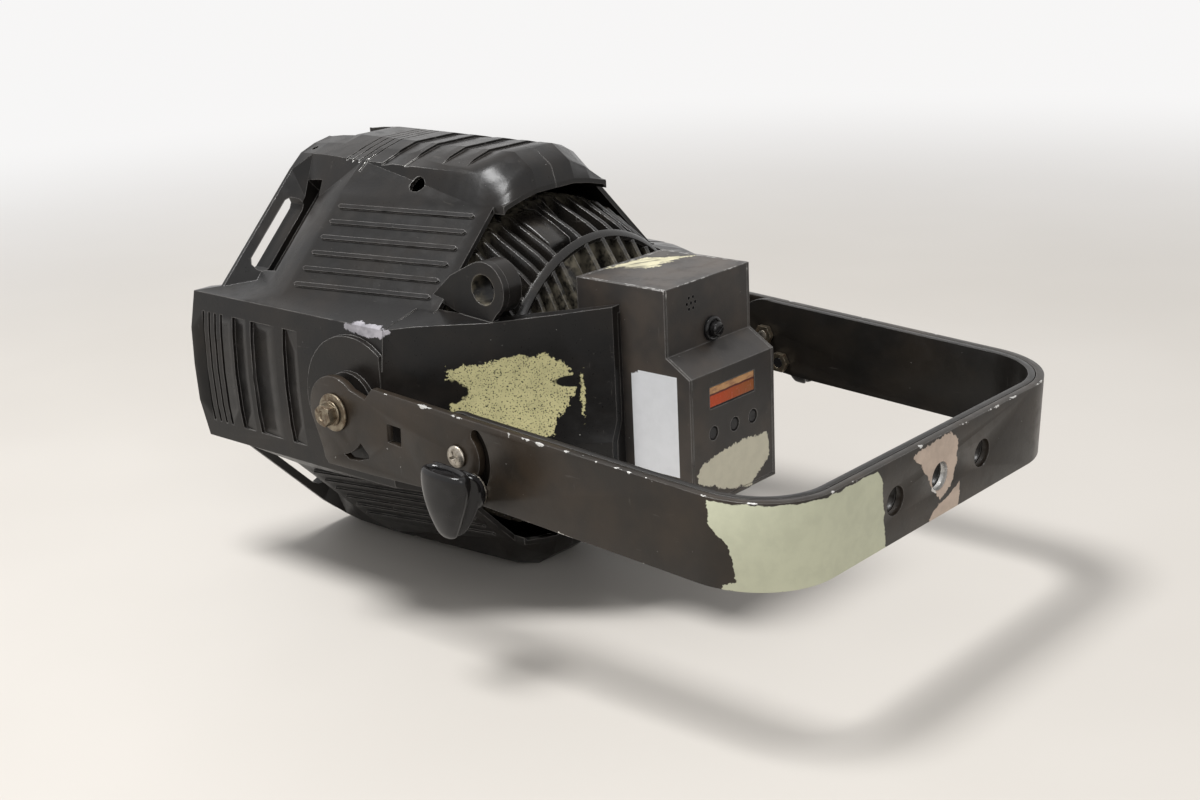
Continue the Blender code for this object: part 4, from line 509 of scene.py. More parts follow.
def box_patches(f):
    """A smear on top, dried paint low on the rear face, a blank label at the side, and painted shade over the
    microphone's holes.
    """
    x, y, z = f.axes(f.place)
    low = f.outline(x / MM, z / MM, LOW_FOOT, LOW_TOP, (5.0, 3.5)) * f.step(y, 0.0805, 0.081)

    cos, sin = SMEAR_TURN
    along, across = (y * cos - x * sin) / MM, (x * cos + y * sin) / MM
    brushed = f.node("ShaderNodeCombineXYZ", inputs={0: along * 0.16, 1: across}, output="Vector")
    streaks = f.noise(3.2, 4.0, place=brushed)
    smear = f.outline(along + (streaks - 0.5) * 40, across, SMEAR_FOOT, SMEAR_TOP, (8.0, 6.0))
    smear = smear * f.step(z, 0.1695, 0.1702) * (1 - f.step(streaks, 0.52, 0.60) * 0.8)

    label = f.between(y, 0.0459, 0.0738, 0.2 * MM) * f.between(z, 0.0792, 0.1294, 0.2 * MM)
    torn_corner = f.patch((33, 46, 129.6), (20, 4.2, 2.2), 0.6, 2 * MM)
    label = label * f.step(x, 0.0325, 0.0328) * (1 - torn_corner)

    # Painted shade: a near-black spot laid over each of the microphone's holes.
    holes = 0.0
    for across_box, up_box in [MICROPHONE] + arc(MICROPHONE, 3.2, 0, 300, 5):
        holes = f.patch((across_box, BOX_BACK, up_box), (0.85, 4, 0.85), 0.0) + holes
    return (
        (smear, PALE_YELLOW, False, 0.75), (low, DRIED_CREAM, False, 0.92),
        (label, BLANK_LABEL, False, 0.95), (holes, PAINTED_HOLE_SHADE, False, 1.0),
    )


def box_chips(f, rim):
    """The box is knocked bare only along its top edges."""
    top_edge = f.step(f.axes(f.place)[2], 0.166, 0.1685)
    return rim * top_edge * f.noise(5 * MM, 5.0, 0.50, 0.56)


# %% Coats of each piece
def fin_dust(f):
    """Khaki dust settles between the fins, most of all at their front ends and down at their roots."""
    x, y, z = f.axes(f.place)
    roots = (1 - f.step(f.from_line(x, z - CORE.z), 0.062, 0.069)) * 0.55
    front_ends = (1 - f.step(y, -0.044, -0.030)) * 0.80
    return roots.most(front_ends) + f.noise(16 * MM, 3.0, 0.58, 0.75) * 0.15


def ear_dust(f):
    """The same dust, caked on the bore of the ear that the lamp's clip goes through."""
    return f.patch((77, -7.3, 171.1), (20, 7.7, 7.7), 0.02, 4 * MM) * 0.9


SATIN_BLACK = (0.0085, 0.0080, 0.0078)
CAST_COAT = {"black": SATIN_BLACK, "sheen": 0.25, "wear": 0.05, "edge": 0.75 * MM, "shine": 0.25}
casting_near = powder_coat(
    "casting_near", extra=near_shell_patches, dust=ear_dust, chips=shoulder_chips, **CAST_COAT)
casting = powder_coat("casting", chips=shoulder_chips, **CAST_COAT)
finned = powder_coat(
    "finned_casting", (0.0070, 0.0066, 0.0062), 0.20, 0.06, 0.6 * MM, dust=fin_dust, shine=0.42)
outer_coat = powder_coat(
    "outer_strap_coat", (0.0165, 0.0132, 0.0100), 0.30, 0.20, 0.7 * MM, strap_patches, chips=strap_chips)
inner_coat = powder_coat("inner_strap_coat", (0.0085, 0.0078, 0.0070), 0.28, 0.25, 0.6 * MM)
sheet_coat = powder_coat(
    "sheet_coat", (0.0330, 0.0300, 0.0280), 0.38, 0.10, 1.1 * MM, box_patches, chips=box_chips)
coats = (casting_near, casting, finned, outer_coat, inner_coat, sheet_coat)
print("powder coats:", [coat.name for coat in coats])

# %% [markdown]
# ## Bolts, rubber, plastic and glass
#
# The small pieces each have one plain finish. Yellow zinc plating has a bronze cast and goes dull in
# patches; steel screws are pale; knobs are moulded in gloss black; the display window is a dark amber
# pane with the segments asleep behind it.

# %% Small finishes
def plating(name, pale, dull, sheen):
    """Plated steel that has gone dull in patches, with darker specks."""
    f = Finish(name)
    stain = f.noise(3.2 * MM, 4.0, 0.38, 0.66)
    colour = f.mix(stain, pale, dull)
    colour = f.mix(f.noise(1.1 * MM, 3.0, 0.62, 0.7), colour, tinted(dull, 0.35))
    rough = sheen + stain * 0.16 + f.noise(0.6 * MM, 2.0) * 0.1
    return f.finish(colour, rough, 1 - stain * 0.25, f.noise(0.4 * MM, 2.0), 0.04 * MM, 0.3 * MM)


def moulded(name, black, sheen, depth=0.02 * MM):
    """Black plastic or rubber, with its edges scuffed grey."""
    f = Finish(name)
    colour = f.mix(f.noise(9 * MM, 3.0, 0.4, 0.7), black, tinted(black, 1.9))
    scuff = f.edges(0.5 * MM) * f.noise(3 * MM, 4.0, 0.5, 0.7)
    colour = f.mix(scuff * 0.5, colour, (0.09, 0.085, 0.08))
    rough = sheen + f.noise(2.5 * MM, 4.0, 0.4, 0.7) * 0.12 + scuff * 0.1
    return f.finish(colour, rough, 0.0, f.noise(0.7 * MM, 2.0), depth, 0.35 * MM, Specular_IOR_Level=0.34)


zinc = plating("yellow_zinc", (0.25, 0.215, 0.160), (0.105, 0.072, 0.045), 0.33)
steel = plating("bright_steel", (0.46, 0.42, 0.36), (0.24, 0.21, 0.17), 0.28)
knob_black = moulded("gloss_knob", (0.0075, 0.0070, 0.0072), 0.12)
plastic_black = moulded("black_plastic", (0.011, 0.011, 0.012), 0.36, 0.008 * MM)
rubber_black = moulded("black_rubber", (0.011, 0.011, 0.011), 0.70, 0.08 * MM)


def board_green():
    f = Finish("board_green")
    tracks = f.node("ShaderNodeTexBrick", {"offset": 0.5}, {
        "Vector": f.place, "Scale": 160.0, "Mortar Size": 0.03,
        "Color1": (0.012, 0.085, 0.030), "Color2": (0.016, 0.10, 0.036), "Mortar": (0.03, 0.16, 0.06),
    }, "Color")
    return f.finish(tracks, 0.34 + f.noise(4 * MM) * 0.2, 0.0, f.noise(1.5 * MM), 0.05 * MM)


def clear_glass(name, tint, sheen):
    f = Finish(name)
    rough = sheen + f.noise(14 * MM, 4.0, 0.5, 0.75) * 0.06
    return f.finish(tint, rough, 0.0, Transmission_Weight=1.0, IOR=1.5)


def amber_window():
    """Amber pane: a painted reflection of the room as a tan band along its top, a dark line, then deep orange over
    a thin dark lower edge.
    """
    f = Finish("amber_window")
    x, y, z = f.axes(f.place)
    height = z / MM + f.shake(10 * MM, 3.0, 1.2)
    orange = f.mix(f.step(x / MM, -18.0, 16.0), (0.30, 0.090, 0.022), (0.52, 0.062, 0.010))
    colour = f.mix(f.step(height, 117.2, 117.7), orange, (0.10, 0.018, 0.012))
    # Painted reflection: the tan band along the pane's top stands for the room mirrored in it.
    painted_reflection = f.mix(f.noise(2.5 * MM, 4.0, 0.4, 0.6, (0.3, 1, 1)), (0.60, 0.33, 0.15), (0.38, 0.19, 0.10))
    colour = f.mix(f.step(height, 118.2, 118.6), colour, painted_reflection)
    edge = 1 - f.step(z / MM, 111.6, 112.1)
    colour = f.mix(edge, colour, (0.02, 0.010, 0.008))
    return f.finish(colour, 0.24 + f.noise(3 * MM, 3.0, 0.5, 0.8) * 0.15, 0.0, Specular_IOR_Level=0.25)


board = board_green()
glass = clear_glass("front_glass_clear", (0.93, 0.96, 0.97), 0.03)
lens_clear = clear_glass("lens_clear", (0.95, 0.96, 0.96), 0.05)
window = amber_window()
print("small finishes made:", len(bpy.data.materials))

# %% Finishes on the CAD nodes
FINISH_OF = {
    "shell_near": casting_near,
    "shell_far": casting,
    "heat_sink": finned,
    "front_ring": casting,
    "control_box_base": sheet_coat,
    "control_box_cover": sheet_coat,
    "outer_yoke": outer_coat,
    "inner_yoke": inner_coat,
    "display_window": window,
    "display_board": board,
    "led_board": board,
    "power_supply": board,
    "front_glass": glass,
    "gasket": rubber_black,
    "microphone": rubber_black,
}
STEMS = (
    ("lens_plate", plastic_black), ("lens_", lens_clear), ("button", plastic_black), ("fuse", plastic_black),
    ("power_inlet", plastic_black), ("data_", plastic_black), ("knob_washer", steel), ("knob", knob_black),
    ("pivot", zinc), ("hinge_screw", steel), ("hinge_nut", zinc), ("stud_nut", zinc), ("friction", rubber_black),
)


def paint(item, material):
    """Put one material in every slot of an object."""
    if not item.material_slots:
        item.data.materials.append(material)
    for slot in item.material_slots:
        slot.material = material


for name, item in frame["nodes"].items():
    chosen = FINISH_OF.get(name)
    if chosen is None:
        chosen = next(material for stem, material in STEMS if name.startswith(stem))
    paint(item, chosen)
print("painted CAD nodes:", len(frame["nodes"]))

# %% [markdown]
# ## Tools for making pieces
#
# A few pieces are too coarse in the CAD model to look at closely: bends show flats, and bolts have no
# chamfers. Each is made again here with Blender's own edit-mode tools. There are five ways of starting:
# trace an outline and pull it out, spin a profile like a lathe, draw a bar's section along its bends, pull
# one ring after another as clay, or take a merged copy of the CAD mesh. Everything is deselected first,
# since operators act on whatever is selected.

# %% Making tools
WELD = 0.001 * MM


def start():
    """Object mode, with nothing selected."""
    if bpy.context.mode != "OBJECT":
        bpy.ops.object.mode_set(mode="OBJECT")
    bpy.ops.object.select_all(action="DESELECT")


def choose(item):
    start()
    item.select_set(True)
    bpy.context.view_layer.objects.active = item


def faces_outwards():
    """In edit mode: every face of a closed piece looks out."""
    bpy.ops.mesh.select_all(action="SELECT")
    bpy.ops.mesh.normals_make_consistent(inside=False)


def apply_modifier(item, kind, **settings):
    choose(item)
    step = item.modifiers.new(kind.lower(), kind)
    for key, value in settings.items():
        setattr(step, key, value)
    bpy.ops.object.modifier_apply(modifier=step.name)


def settle(item, frame=None):
    """Turn the piece into its place and write that place into its mesh."""
    choose(item)
    if frame is not None:
        item.matrix_world = frame
    bpy.ops.object.transform_apply(location=True, rotation=True, scale=True)
    return item


def traced(outline, depth, frame):
    """A ring of points moved onto an outline, filled, and pulled out to a depth both ways from its plane."""
    start()
    bpy.ops.mesh.primitive_circle_add(vertices=len(outline), fill_type="NGON")
    item = bpy.context.object
    for vertex, (a, b) in zip(item.data.vertices, outline):
        vertex.co = (a * MM, b * MM, -depth * MM / 2)
    bpy.ops.object.mode_set(mode="EDIT")
    bpy.ops.mesh.select_all(action="SELECT")
    bpy.ops.mesh.extrude_region_move(TRANSFORM_OT_translate={"value": (0, 0, depth * MM)})
    faces_outwards()
    return settle(item, frame)


def lathe(name, profile, frame, steps=48):
    """A profile of (radius, height) in millimetres, spun once round the frame's Z."""
    start()
    bpy.ops.mesh.primitive_circle_add(vertices=len(profile), fill_type="NOTHING")
    item = bpy.context.object
    item.name = name
    for vertex, (radius, height) in zip(item.data.vertices, profile):
        vertex.co = (radius * MM, 0, height * MM)
    bpy.ops.object.mode_set(mode="EDIT")
    mesh = bmesh.from_edit_mesh(item.data)
    mesh.select_mode = {"EDGE"}
    on_axis = [edge for edge in mesh.edges if max(end.co.x for end in edge.verts) < 1e-6]
    for edge in mesh.edges:
        edge.select_set(edge in on_axis)
    bmesh.update_edit_mesh(item.data)
    if on_axis:
        bpy.ops.mesh.delete(type="EDGE")
    bpy.ops.mesh.select_all(action="SELECT")
    bpy.ops.mesh.spin(steps=steps, angle=2 * math.pi, center=(0, 0, 0), axis=(0, 0, 1))
    bpy.ops.mesh.select_all(action="SELECT")
    bpy.ops.mesh.remove_doubles(threshold=WELD)
    bpy.ops.mesh.dissolve_degenerate(threshold=WELD / 2)
    faces_outwards()
    return settle(item, frame)


def combined(item, tools, operation="DIFFERENCE"):
    """Cut or trim the piece with each tool in turn, and throw the tool away."""
    for tool in tools:
        apply_modifier(item, "BOOLEAN", operation=operation, solver="EXACT", object=tool)
        bpy.data.objects.remove(tool, do_unlink=True)
    return item


def softened(item, width, segments=2, sharp=30, smooth=40):
    """Round every arris that is sharper than an angle, and shade across the shallow ones."""
    apply_modifier(item, "BEVEL", width=width * MM, segments=segments, limit_method="ANGLE",
                   angle_limit=math.radians(sharp), harden_normals=False)
    choose(item)
    bpy.ops.object.shade_smooth_by_angle(angle=math.radians(smooth))
    return item


def instead(piece, name, nodes, body, material):
    """The piece stands for the CAD nodes, on the same body and in its own finish."""
    start()
    piece.name = name
    paint(piece, material)
    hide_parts(*nodes)
    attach(piece, body)
    print(name, len(piece.data.polygons), "faces")


# %% [markdown]
# ## The two straps
#
# Each strap is one length of 4 mm flat bar, bent at two corners. The bar's section is pulled along the first
# arm, spun round the corner, pulled across the base, and so on, just as a bending machine would take it.
# The arm's end, with its round head, its notch and its long heel, is cut by a traced outline that passes
# through both arms at once.

# %% Bent bar
BAR_TOP, BAR_FOOT = 20.0, -30.0


def bent_bar(half, thick, begin, reach, corner):
    """A bar's section drawn out along one arm, round a corner, across the base, and back the same way."""
    start()
    bpy.ops.mesh.primitive_plane_add(size=1.0, rotation=(math.pi / 2, 0, 0))
    item = bpy.context.object
    item.location = Vector((half - thick / 2, begin, (BAR_FOOT + BAR_TOP) / 2)) * MM
    item.scale = (thick * MM, (BAR_TOP - BAR_FOOT) * MM, 1)
    settle(item)
    bpy.ops.object.mode_set(mode="EDIT")
    bpy.ops.mesh.select_all(action="SELECT")
    straight = (reach - corner - begin) * MM
    across = 2 * (half - corner) * MM
    turn_y = (reach - corner) * MM
    bpy.ops.mesh.extrude_region_move(TRANSFORM_OT_translate={"value": (0, straight, 0)})
    bpy.ops.mesh.spin(steps=28, angle=-math.pi / 2, center=((half - corner) * MM, turn_y, 0), axis=(0, 0, 1))
    bpy.ops.mesh.extrude_region_move(TRANSFORM_OT_translate={"value": (-across, 0, 0)})
    bpy.ops.mesh.spin(steps=28, angle=-math.pi / 2, center=((corner - half) * MM, turn_y, 0), axis=(0, 0, 1))
    bpy.ops.mesh.extrude_region_move(TRANSFORM_OT_translate={"value": (0, -straight, 0)})
    bpy.ops.mesh.select_all(action="SELECT")
    bpy.ops.mesh.remove_doubles(threshold=WELD)
    faces_outwards()
    start()
    return item


def across_both(outline):
    """A traced outline of (along, up) that reaches through both arms."""
    return traced(outline, 300.0, SIDEWAYS)


def bore(centre, radius):
    """A round hole through both arms."""
    return across_both(arc(centre, radius, 0, 352.5, 47))


CLAMP_BORE = 6.75
CLAMP_PLACES = (37.0, 0.0, -37.0)


def clamp_bores():
    """The three round holes through the base, where a clamp's bolt would go."""
    tools = []
    for x in CLAMP_PLACES:
        start()
        bpy.ops.mesh.primitive_cylinder_add(
            vertices=48, radius=CLAMP_BORE * MM, depth=60 * MM, rotation=(math.pi / 2, 0, 0))
        tool = bpy.context.object
        tool.location = Vector((x, 262.0, CLAMP_UP)) * MM
        tools.append(settle(tool))
    return tools


# %% Outer strap
STRAP_THICK = 4.0
PAST_BASE = 280.0
PIVOT_BORE, HINGE_BORE = 4.2, 3.2
SLOT_HALF = 3.3
head_and_heel = [(-15.4, -9.4)] + arc((0, 0), 18.0, 203, 50, 36) + [
    (22.2, 11.3), (27.6, STRAP_TOP), (PAST_BASE, STRAP_TOP), (PAST_BASE, STRAP_FOOT), (95.0, STRAP_FOOT),
    (63.7, -23.4), (25.2, -26.6), (-6.5, -28.6), (-8.9, -26.0), (-10.5, -20.2),
]
stud_reach = math.hypot(STUD[0] - HINGE[0], STUD[1] - HINGE[1])
stud_angle = math.degrees(math.atan2(STUD[1] - HINGE[1], STUD[0] - HINGE[0]))
slot_start = stud_angle - 1.0
slot_end = stud_angle + 96.0
slot_top = arc(HINGE, stud_reach, slot_end, slot_end, 1)[0]
slot_foot = arc(HINGE, stud_reach, slot_start, slot_start, 1)[0]
swing_slot = arc(HINGE, stud_reach + SLOT_HALF, slot_start, slot_end, 32)
swing_slot += arc(slot_top, SLOT_HALF, slot_end, slot_end + 180, 12)[1:-1]
swing_slot += arc(HINGE, stud_reach - SLOT_HALF, slot_end, slot_start, 32)
swing_slot += arc(slot_foot, SLOT_HALF, slot_start + 180, slot_start + 360, 12)[1:-1]
index_window = arc((0, 0), 21.4, -75, -34, 12) + [(23.4, -16.8), (23.8, -18.4), (16.5, -21.4), (9.0, -22.4)]
square_hole = [(37.45, -6.65), (46.95, -6.65), (46.95, 2.85), (37.45, 2.85)]

outer = bent_bar(STRAP_FACE, STRAP_THICK, -36.0, STRAP_REACH, STRAP_CORNER)
combined(outer, [across_both(head_and_heel)], "INTERSECT")
holes = [bore((0, 0), PIVOT_BORE), bore(HINGE, HINGE_BORE)]
holes += [across_both(outline) for outline in (swing_slot, index_window, square_hole)]
combined(outer, holes + clamp_bores())
softened(outer, 0.45)
settle(outer, STRAP_FRAME)
instead(outer, "outer_strap", ["outer_yoke"], "outer_yoke", outer_coat)

# %% Inner strap
STUD_BORE = 3.1
INNER_THICK = 3.5
INNER_INSET = STRAP_THICK + 0.35
INNER_END = 19.7
top_angle = math.degrees(math.asin((STRAP_TOP - HINGE[1]) / INNER_END))
round_end = arc(HINGE, INNER_END, top_angle, 360 - top_angle, 40)
round_end += [(HINGE[0] + INNER_END, STRAP_FOOT), (PAST_BASE, STRAP_FOOT), (PAST_BASE, STRAP_TOP)]

inner = bent_bar(
    STRAP_FACE - INNER_INSET, INNER_THICK, 0.0, STRAP_REACH - INNER_INSET, STRAP_CORNER - INNER_INSET)
combined(inner, [across_both(round_end)], "INTERSECT")
combined(inner, [bore(HINGE, HINGE_BORE), bore(STUD, STUD_BORE)] + clamp_bores())
softened(inner, 0.4)
settle(inner, STRAP_FRAME)
instead(inner, "inner_strap", ["inner_yoke"], "inner_yoke", inner_coat)

# %% [markdown]
# ## Bolts, washers and screws
#
# The pivot bolt has a collar forged under its hexagon and a dished top. The hinge screw is a pan head with
# a cross recess. Washers, collars and screws are lathed. The hexagon is traced, and two lathed cutters turn
# off its corners and sink its dish, as a lathe would on a real bolt.

# %% Pivot bolts
def hexagon_head(across, low, high, frame):
    """A traced hexagon, its corners turned off by a lathed chamfer, with a shallow round dish in its top."""
    corner = across / 2 / math.cos(math.pi / 6)
    head = traced(arc((0, 0), corner, 12, 312, 5), high - low, Matrix.Translation((0, 0, (low + high) / 2 * MM)))
    chamfer = [
        (0, low - 1), (corner + 1, low - 1), (corner + 1, high - 1.1), (corner - 1.0, high + 0.1), (0, high + 0.1),
    ]
    dish = [(0, high - 0.9), (2.5, high - 0.7), (3.0, high + 1), (0, high + 1)]
    combined(head, [lathe("chamfer", chamfer, Matrix())], "INTERSECT")
    combined(head, [lathe("dish", dish, Matrix())])
    softened(head, 0.28)
    return settle(head, frame)


def joined(pieces, name):
    """Several finished solids as one object."""
    choose(pieces[0])
    for piece in pieces[1:]:
        piece.select_set(True)
    bpy.ops.object.join()
    pieces[0].name = name
    return pieces[0]


SIDES = (("near", False), ("far", True))
SHANK_AND_COLLAR = [
    (0, -20.9), (3.6, -20.9), (3.9, -20.3), (3.9, 2.0), (6.0, 2.0), (6.4, 2.4), (6.4, 2.9), (6.0, 3.2), (0, 3.2),
]
WASHER = [(9.6, 0.55), (9.35, 0.32), (4.3, 0.32), (4.3, 1.68), (9.2, 1.68), (9.6, 1.4)]

for end, far in SIDES:
    place = on_strap(0, 0, far, Matrix.Translation(PIVOT))
    collar = lathe("collar", SHANK_AND_COLLAR, place)
    softened(collar, 0.1, 1)
    head = hexagon_head(10.0, 3.1, 8.15, place)
    bolt = joined([collar, head], "pivot_bolt")
    instead(bolt, f"hex_bolt_{end}", [f"pivot_bolt_{end}"], "body", zinc)
    washer = lathe("washer", WASHER, place)
    softened(washer, 0.12, 1)
    instead(washer, f"flat_washer_{end}", [f"pivot_washer_{end}"], "body", zinc)

# %% Hinge screws
SHANK_END = -11.3
BLADE = [(-2.9, -0.6), (2.9, -0.6), (2.9, 0.6), (-2.9, 0.6)]


def cross_recess(frame):
    """Two crossed blades that press the driver's recess into a screw's head."""
    tools = []
    for angle in (20, 110):
        blade = traced(BLADE, 4.2, Matrix.Translation((0, 0, 2.9 * MM)))
        tools.append(settle(blade, frame @ Matrix.Rotation(math.radians(angle), 4, "Z")))
    return tools


screw_profile = [(0, SHANK_END), (2.7, SHANK_END), (2.9, SHANK_END + 0.4), (2.9, 0.33), (5.2, 0.33), (5.4, 0.55)]
for tilt in range(0, 90, 10):
    screw_profile.append((5.4 * math.cos(math.radians(tilt)), 0.9 + 1.75 * math.sin(math.radians(tilt))))
screw_profile.append((0, 2.65))

for end, far in SIDES:
    place = on_strap(*HINGE, far)
    screw = lathe("screw", screw_profile, place, 40)
    combined(screw, cross_recess(place))
    softened(screw, 0.12, 1, 35, 50)
    instead(screw, f"cross_head_screw_{end}", [f"hinge_screw_{end}"], "outer_yoke", steel)

# %% [markdown]
# ## The clamp knobs
#
# Each knob is moulded in two parts that flow together: a shield outside, with a dished oval top, which
# tapers to a blunt tip, and behind it a neck that widens to the round hub against the strap. One outline of
# 22 points holds both. It is pulled down ring after ring, each ring's points are moved onto the next
# outline, and a subdivision surface melts the rings together and leaves the valley between shield and neck.

# %% Clamp knobs
KNOB_RINGS = (
    # height, half width of the shield, its front, its thickness, half width of the hub, hub's back
    (15.2, 12.4, 23.8, 10.2, 6.0, 13.6),
    (14.1, 14.2, 24.9, 12.6, 6.6, 12.3),
    (10.8, 14.6, 25.0, 13.3, 7.0, 11.7),
    (8.4, 14.5, 25.0, 12.9, 8.2, 5.0),
    (5.0, 13.8, 25.0, 12.4, 8.9, 3.1),
    (0.0, 12.6, 24.9, 11.9, 9.0, 3.1),
    (-5.0, 10.6, 24.4, 11.0, 8.0, 3.8),
    (-10.0, 8.3, 23.3, 9.6, 6.6, 5.6),
    (-14.5, 6.1, 21.8, 7.4, 5.0, 8.2),
    (-17.3, 4.4, 20.2, 5.4, 3.8, 10.2),
    (-18.2, 2.4, 18.4, 3.4, 2.3, 12.2),
)


def knob_outline(ring):
    """The ring's points, as (out from the strap, along the strap)."""
    height, wide, front, thick, hub, back = ring
    neck = front - thick
    half = [
        (front, 0), (front - 0.02 * thick, 0.36 * wide), (front - 0.10 * thick, 0.70 * wide),
        (front - 0.28 * thick, 0.95 * wide), (front - 0.50 * thick, wide), (front - 0.76 * thick, 0.90 * wide),
        (front - 0.94 * thick, 0.64 * wide), (neck, 0.62 * hub), (0.6 * neck + 0.4 * back, 0.70 * hub),
        (0.2 * neck + 0.8 * back, 0.98 * hub), (back, 0.80 * hub), (back, 0),
    ]
    return half + [(out, -along) for out, along in half[-2:0:-1]]


DISHED_TOP = ((0.7, 0.0), (0.9, 0.5), (0.8, 0.9), (1.6, 0.3))


def knob_wing():
    """The shield and neck as one piece: rings pulled down one by one, a top inset and sunk four times."""
    first = knob_outline(KNOB_RINGS[0])
    start()
    bpy.ops.mesh.primitive_circle_add(vertices=len(first), fill_type="NGON")
    item = bpy.context.object
    for vertex, (out, along) in zip(item.data.vertices, first):
        vertex.co = Vector((out, along, KNOB_RINGS[0][0])) * MM
    bpy.ops.object.mode_set(mode="EDIT")
    bpy.ops.mesh.select_all(action="SELECT")
    for before, after in zip(KNOB_RINGS, KNOB_RINGS[1:]):
        bpy.ops.mesh.extrude_region_move(TRANSFORM_OT_translate={"value": (0, 0, (after[0] - before[0]) * MM)})
        mesh = bmesh.from_edit_mesh(item.data)
        old, new = knob_outline(before), knob_outline(after)
        for vertex in mesh.verts:
            if vertex.select:
                here = Vector(vertex.co.xy) / MM
                nearest = min(range(len(old)), key=lambda place: (Vector(old[place]) - here).length)
                vertex.co.xy = Vector(new[nearest]) * MM
        bmesh.update_edit_mesh(item.data)
    mesh = bmesh.from_edit_mesh(item.data)
    mesh.select_mode = {"FACE"}
    for face in mesh.faces:
        face.select_set(len(face.verts) > 4 and face.calc_center_median().z > 0.01)
    bmesh.update_edit_mesh(item.data)
    for width, drop in DISHED_TOP:
        bpy.ops.mesh.inset(thickness=width * MM)
        bpy.ops.transform.translate(value=(0, 0, -drop * MM))
    faces_outwards()
    start()
    apply_modifier(item, "SUBSURF", levels=2, render_levels=2)
    choose(item)
    bpy.ops.object.shade_smooth()
    return item


STUD_AND_HUB = [
    (0, SHANK_END), (2.8, SHANK_END), (2.8, 1.45), (8.2, 1.45), (8.6, 1.8), (8.6, 5.0), (7.4, 6.2), (0, 6.2),
]

for end, far in SIDES:
    turn = Matrix.Rotation(math.pi if far else 0, 4, "Z")
    x = -STRAP_FACE if far else STRAP_FACE
    place = STRAP_FRAME @ Matrix.Translation(Vector((x, *STUD)) * MM) @ turn
    wing = settle(knob_wing(), place)
    hub = lathe("hub", STUD_AND_HUB, on_strap(*STUD, far))
    softened(hub, 0.15, 1)
    knob = joined([wing, hub], "knob")
    instead(knob, f"wing_knob_{end}", [f"knob_{end}"], f"knob_{end}", knob_black)

# %% [markdown]
# ## The fuse holder's cap
#
# A gloss black cap screws into the box's rear face. It has a rounded bezel, a groove, and a raised middle
# with a slot for a coin. The profile is lathed once, and the slot is cut with a traced bar.

# %% Fuse cap
cap_low, cap_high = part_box("fuse_cap")
cap_frame = Matrix.Translation(Vector((-1.9, BOX_BACK, 144.6)) * MM) @ Matrix.Rotation(-math.pi / 2, 4, "X")
foot = cap_low.y / MM - BOX_BACK
proud = cap_high.y / MM - BOX_BACK
cap_profile = [
    (0, foot), (3.6, foot), (3.6, -0.2), (3.6, 0.25), (6.0, 0.25), (6.25, 0.6), (6.25, 1.4), (5.9, 2.1),
    (5.2, 2.4), (4.6, 2.1), (4.3, 1.3), (3.9, 1.3), (3.7, proud - 0.7), (3.1, proud - 0.1), (1.5, proud),
    (0, proud),
]
cap = lathe("cap", cap_profile, cap_frame, 40)
slot_bar = [(-3.2, -0.5), (3.2, -0.5), (3.2, 0.5), (-3.2, 0.5)]
slot_frame = cap_frame @ Matrix.Translation((0, 0, proud * MM)) @ Matrix.Rotation(0.5, 4, "Z")
combined(cap, [traced(slot_bar, 1.6, slot_frame)])
softened(cap, 0.15, 2, 25, 45)
instead(cap, "coin_slot_cap", ["fuse_cap"], "fuse_cap", knob_black)
print("cap stands", round(proud, 2), "mm proud")

# %% [markdown]
# ## Castings with soft arrises
#
# A die casting has no true flats or knife edges: paint pools in its corners and rounds them. The CAD halves
# have the right shape, so merged copies of them stand in, with their shallow facets shaded as one skin. The
# arrises themselves are rounded in the shader, which costs no faces. The cheek's upright grooves look deep
# and dark on the real lamp, so cutters that follow the cheek's crown sink them a little further.

# %% Cast half shells
SHELL_SMOOTH = math.radians(24)
COPY_WELD = 0.004 * MM
TRUE_FLAT = math.radians(0.4)


def merged_copy(name):
    """A copy of a CAD node with its loose triangles welded, and its true flats made one face each."""
    node = frame["nodes"][name]
    start()
    copy = bpy.data.objects.new(name + "_skin", node.data.copy())
    bpy.context.scene.collection.objects.link(copy)
    choose(copy)
    bpy.ops.object.mode_set(mode="EDIT")
    bpy.ops.mesh.select_all(action="SELECT")
    bpy.ops.mesh.remove_doubles(threshold=COPY_WELD)
    bpy.ops.mesh.dissolve_limited(angle_limit=TRUE_FLAT)
    choose(copy)
    bpy.ops.object.shade_smooth_by_angle(angle=SHELL_SMOOTH)
    return copy


CHEEK_LINE = ((108.7, 30.5), (109.8, 20.25), (110.5, 0), (109.8, -20.25), (108.7, -30.5))
CHEEK_CUTS = (
    # front of the cut, its width, its depth
    (-117.2, 1.7, 1.9), (-112.2, 1.7, 1.9), (-107.2, 1.7, 1.9), (-102.2, 1.9, 1.9),
    (-92.0, 1.4, 2.1), (-77.0, 1.6, 2.1), (-51.0, 1.6, 2.1),
)
CUTTER_RISE = 4.0


def cheek_cut(far, front, width, depth):
    """A cutter that follows the cheek's crown, and stands clear of it outside."""
    side = -1 if far else 1
    floor_line = [(side * (x - depth), z) for x, z in CHEEK_LINE]
    above = [(side * (x + CUTTER_RISE), z) for x, z in reversed(CHEEK_LINE)]
    middle = CORE + Vector((0, (front + width / 2) * MM, 0))
    upright = Matrix(((1, 0, 0, 0), (0, 0, -1, 0), (0, 1, 0, 0), (0, 0, 0, 1)))
    return traced(floor_line + above, width, Matrix.Translation(middle) @ upright)


for end, material in (("near", casting_near), ("far", casting)):
    half_shell = merged_copy(f"shell_{end}")
    combined(half_shell, [cheek_cut(end == "far", *cut) for cut in CHEEK_CUTS])
    choose(half_shell)
    bpy.ops.object.shade_smooth_by_angle(angle=SHELL_SMOOTH)
    instead(half_shell, f"cast_half_{end}", [f"shell_{end}"], "body", material)

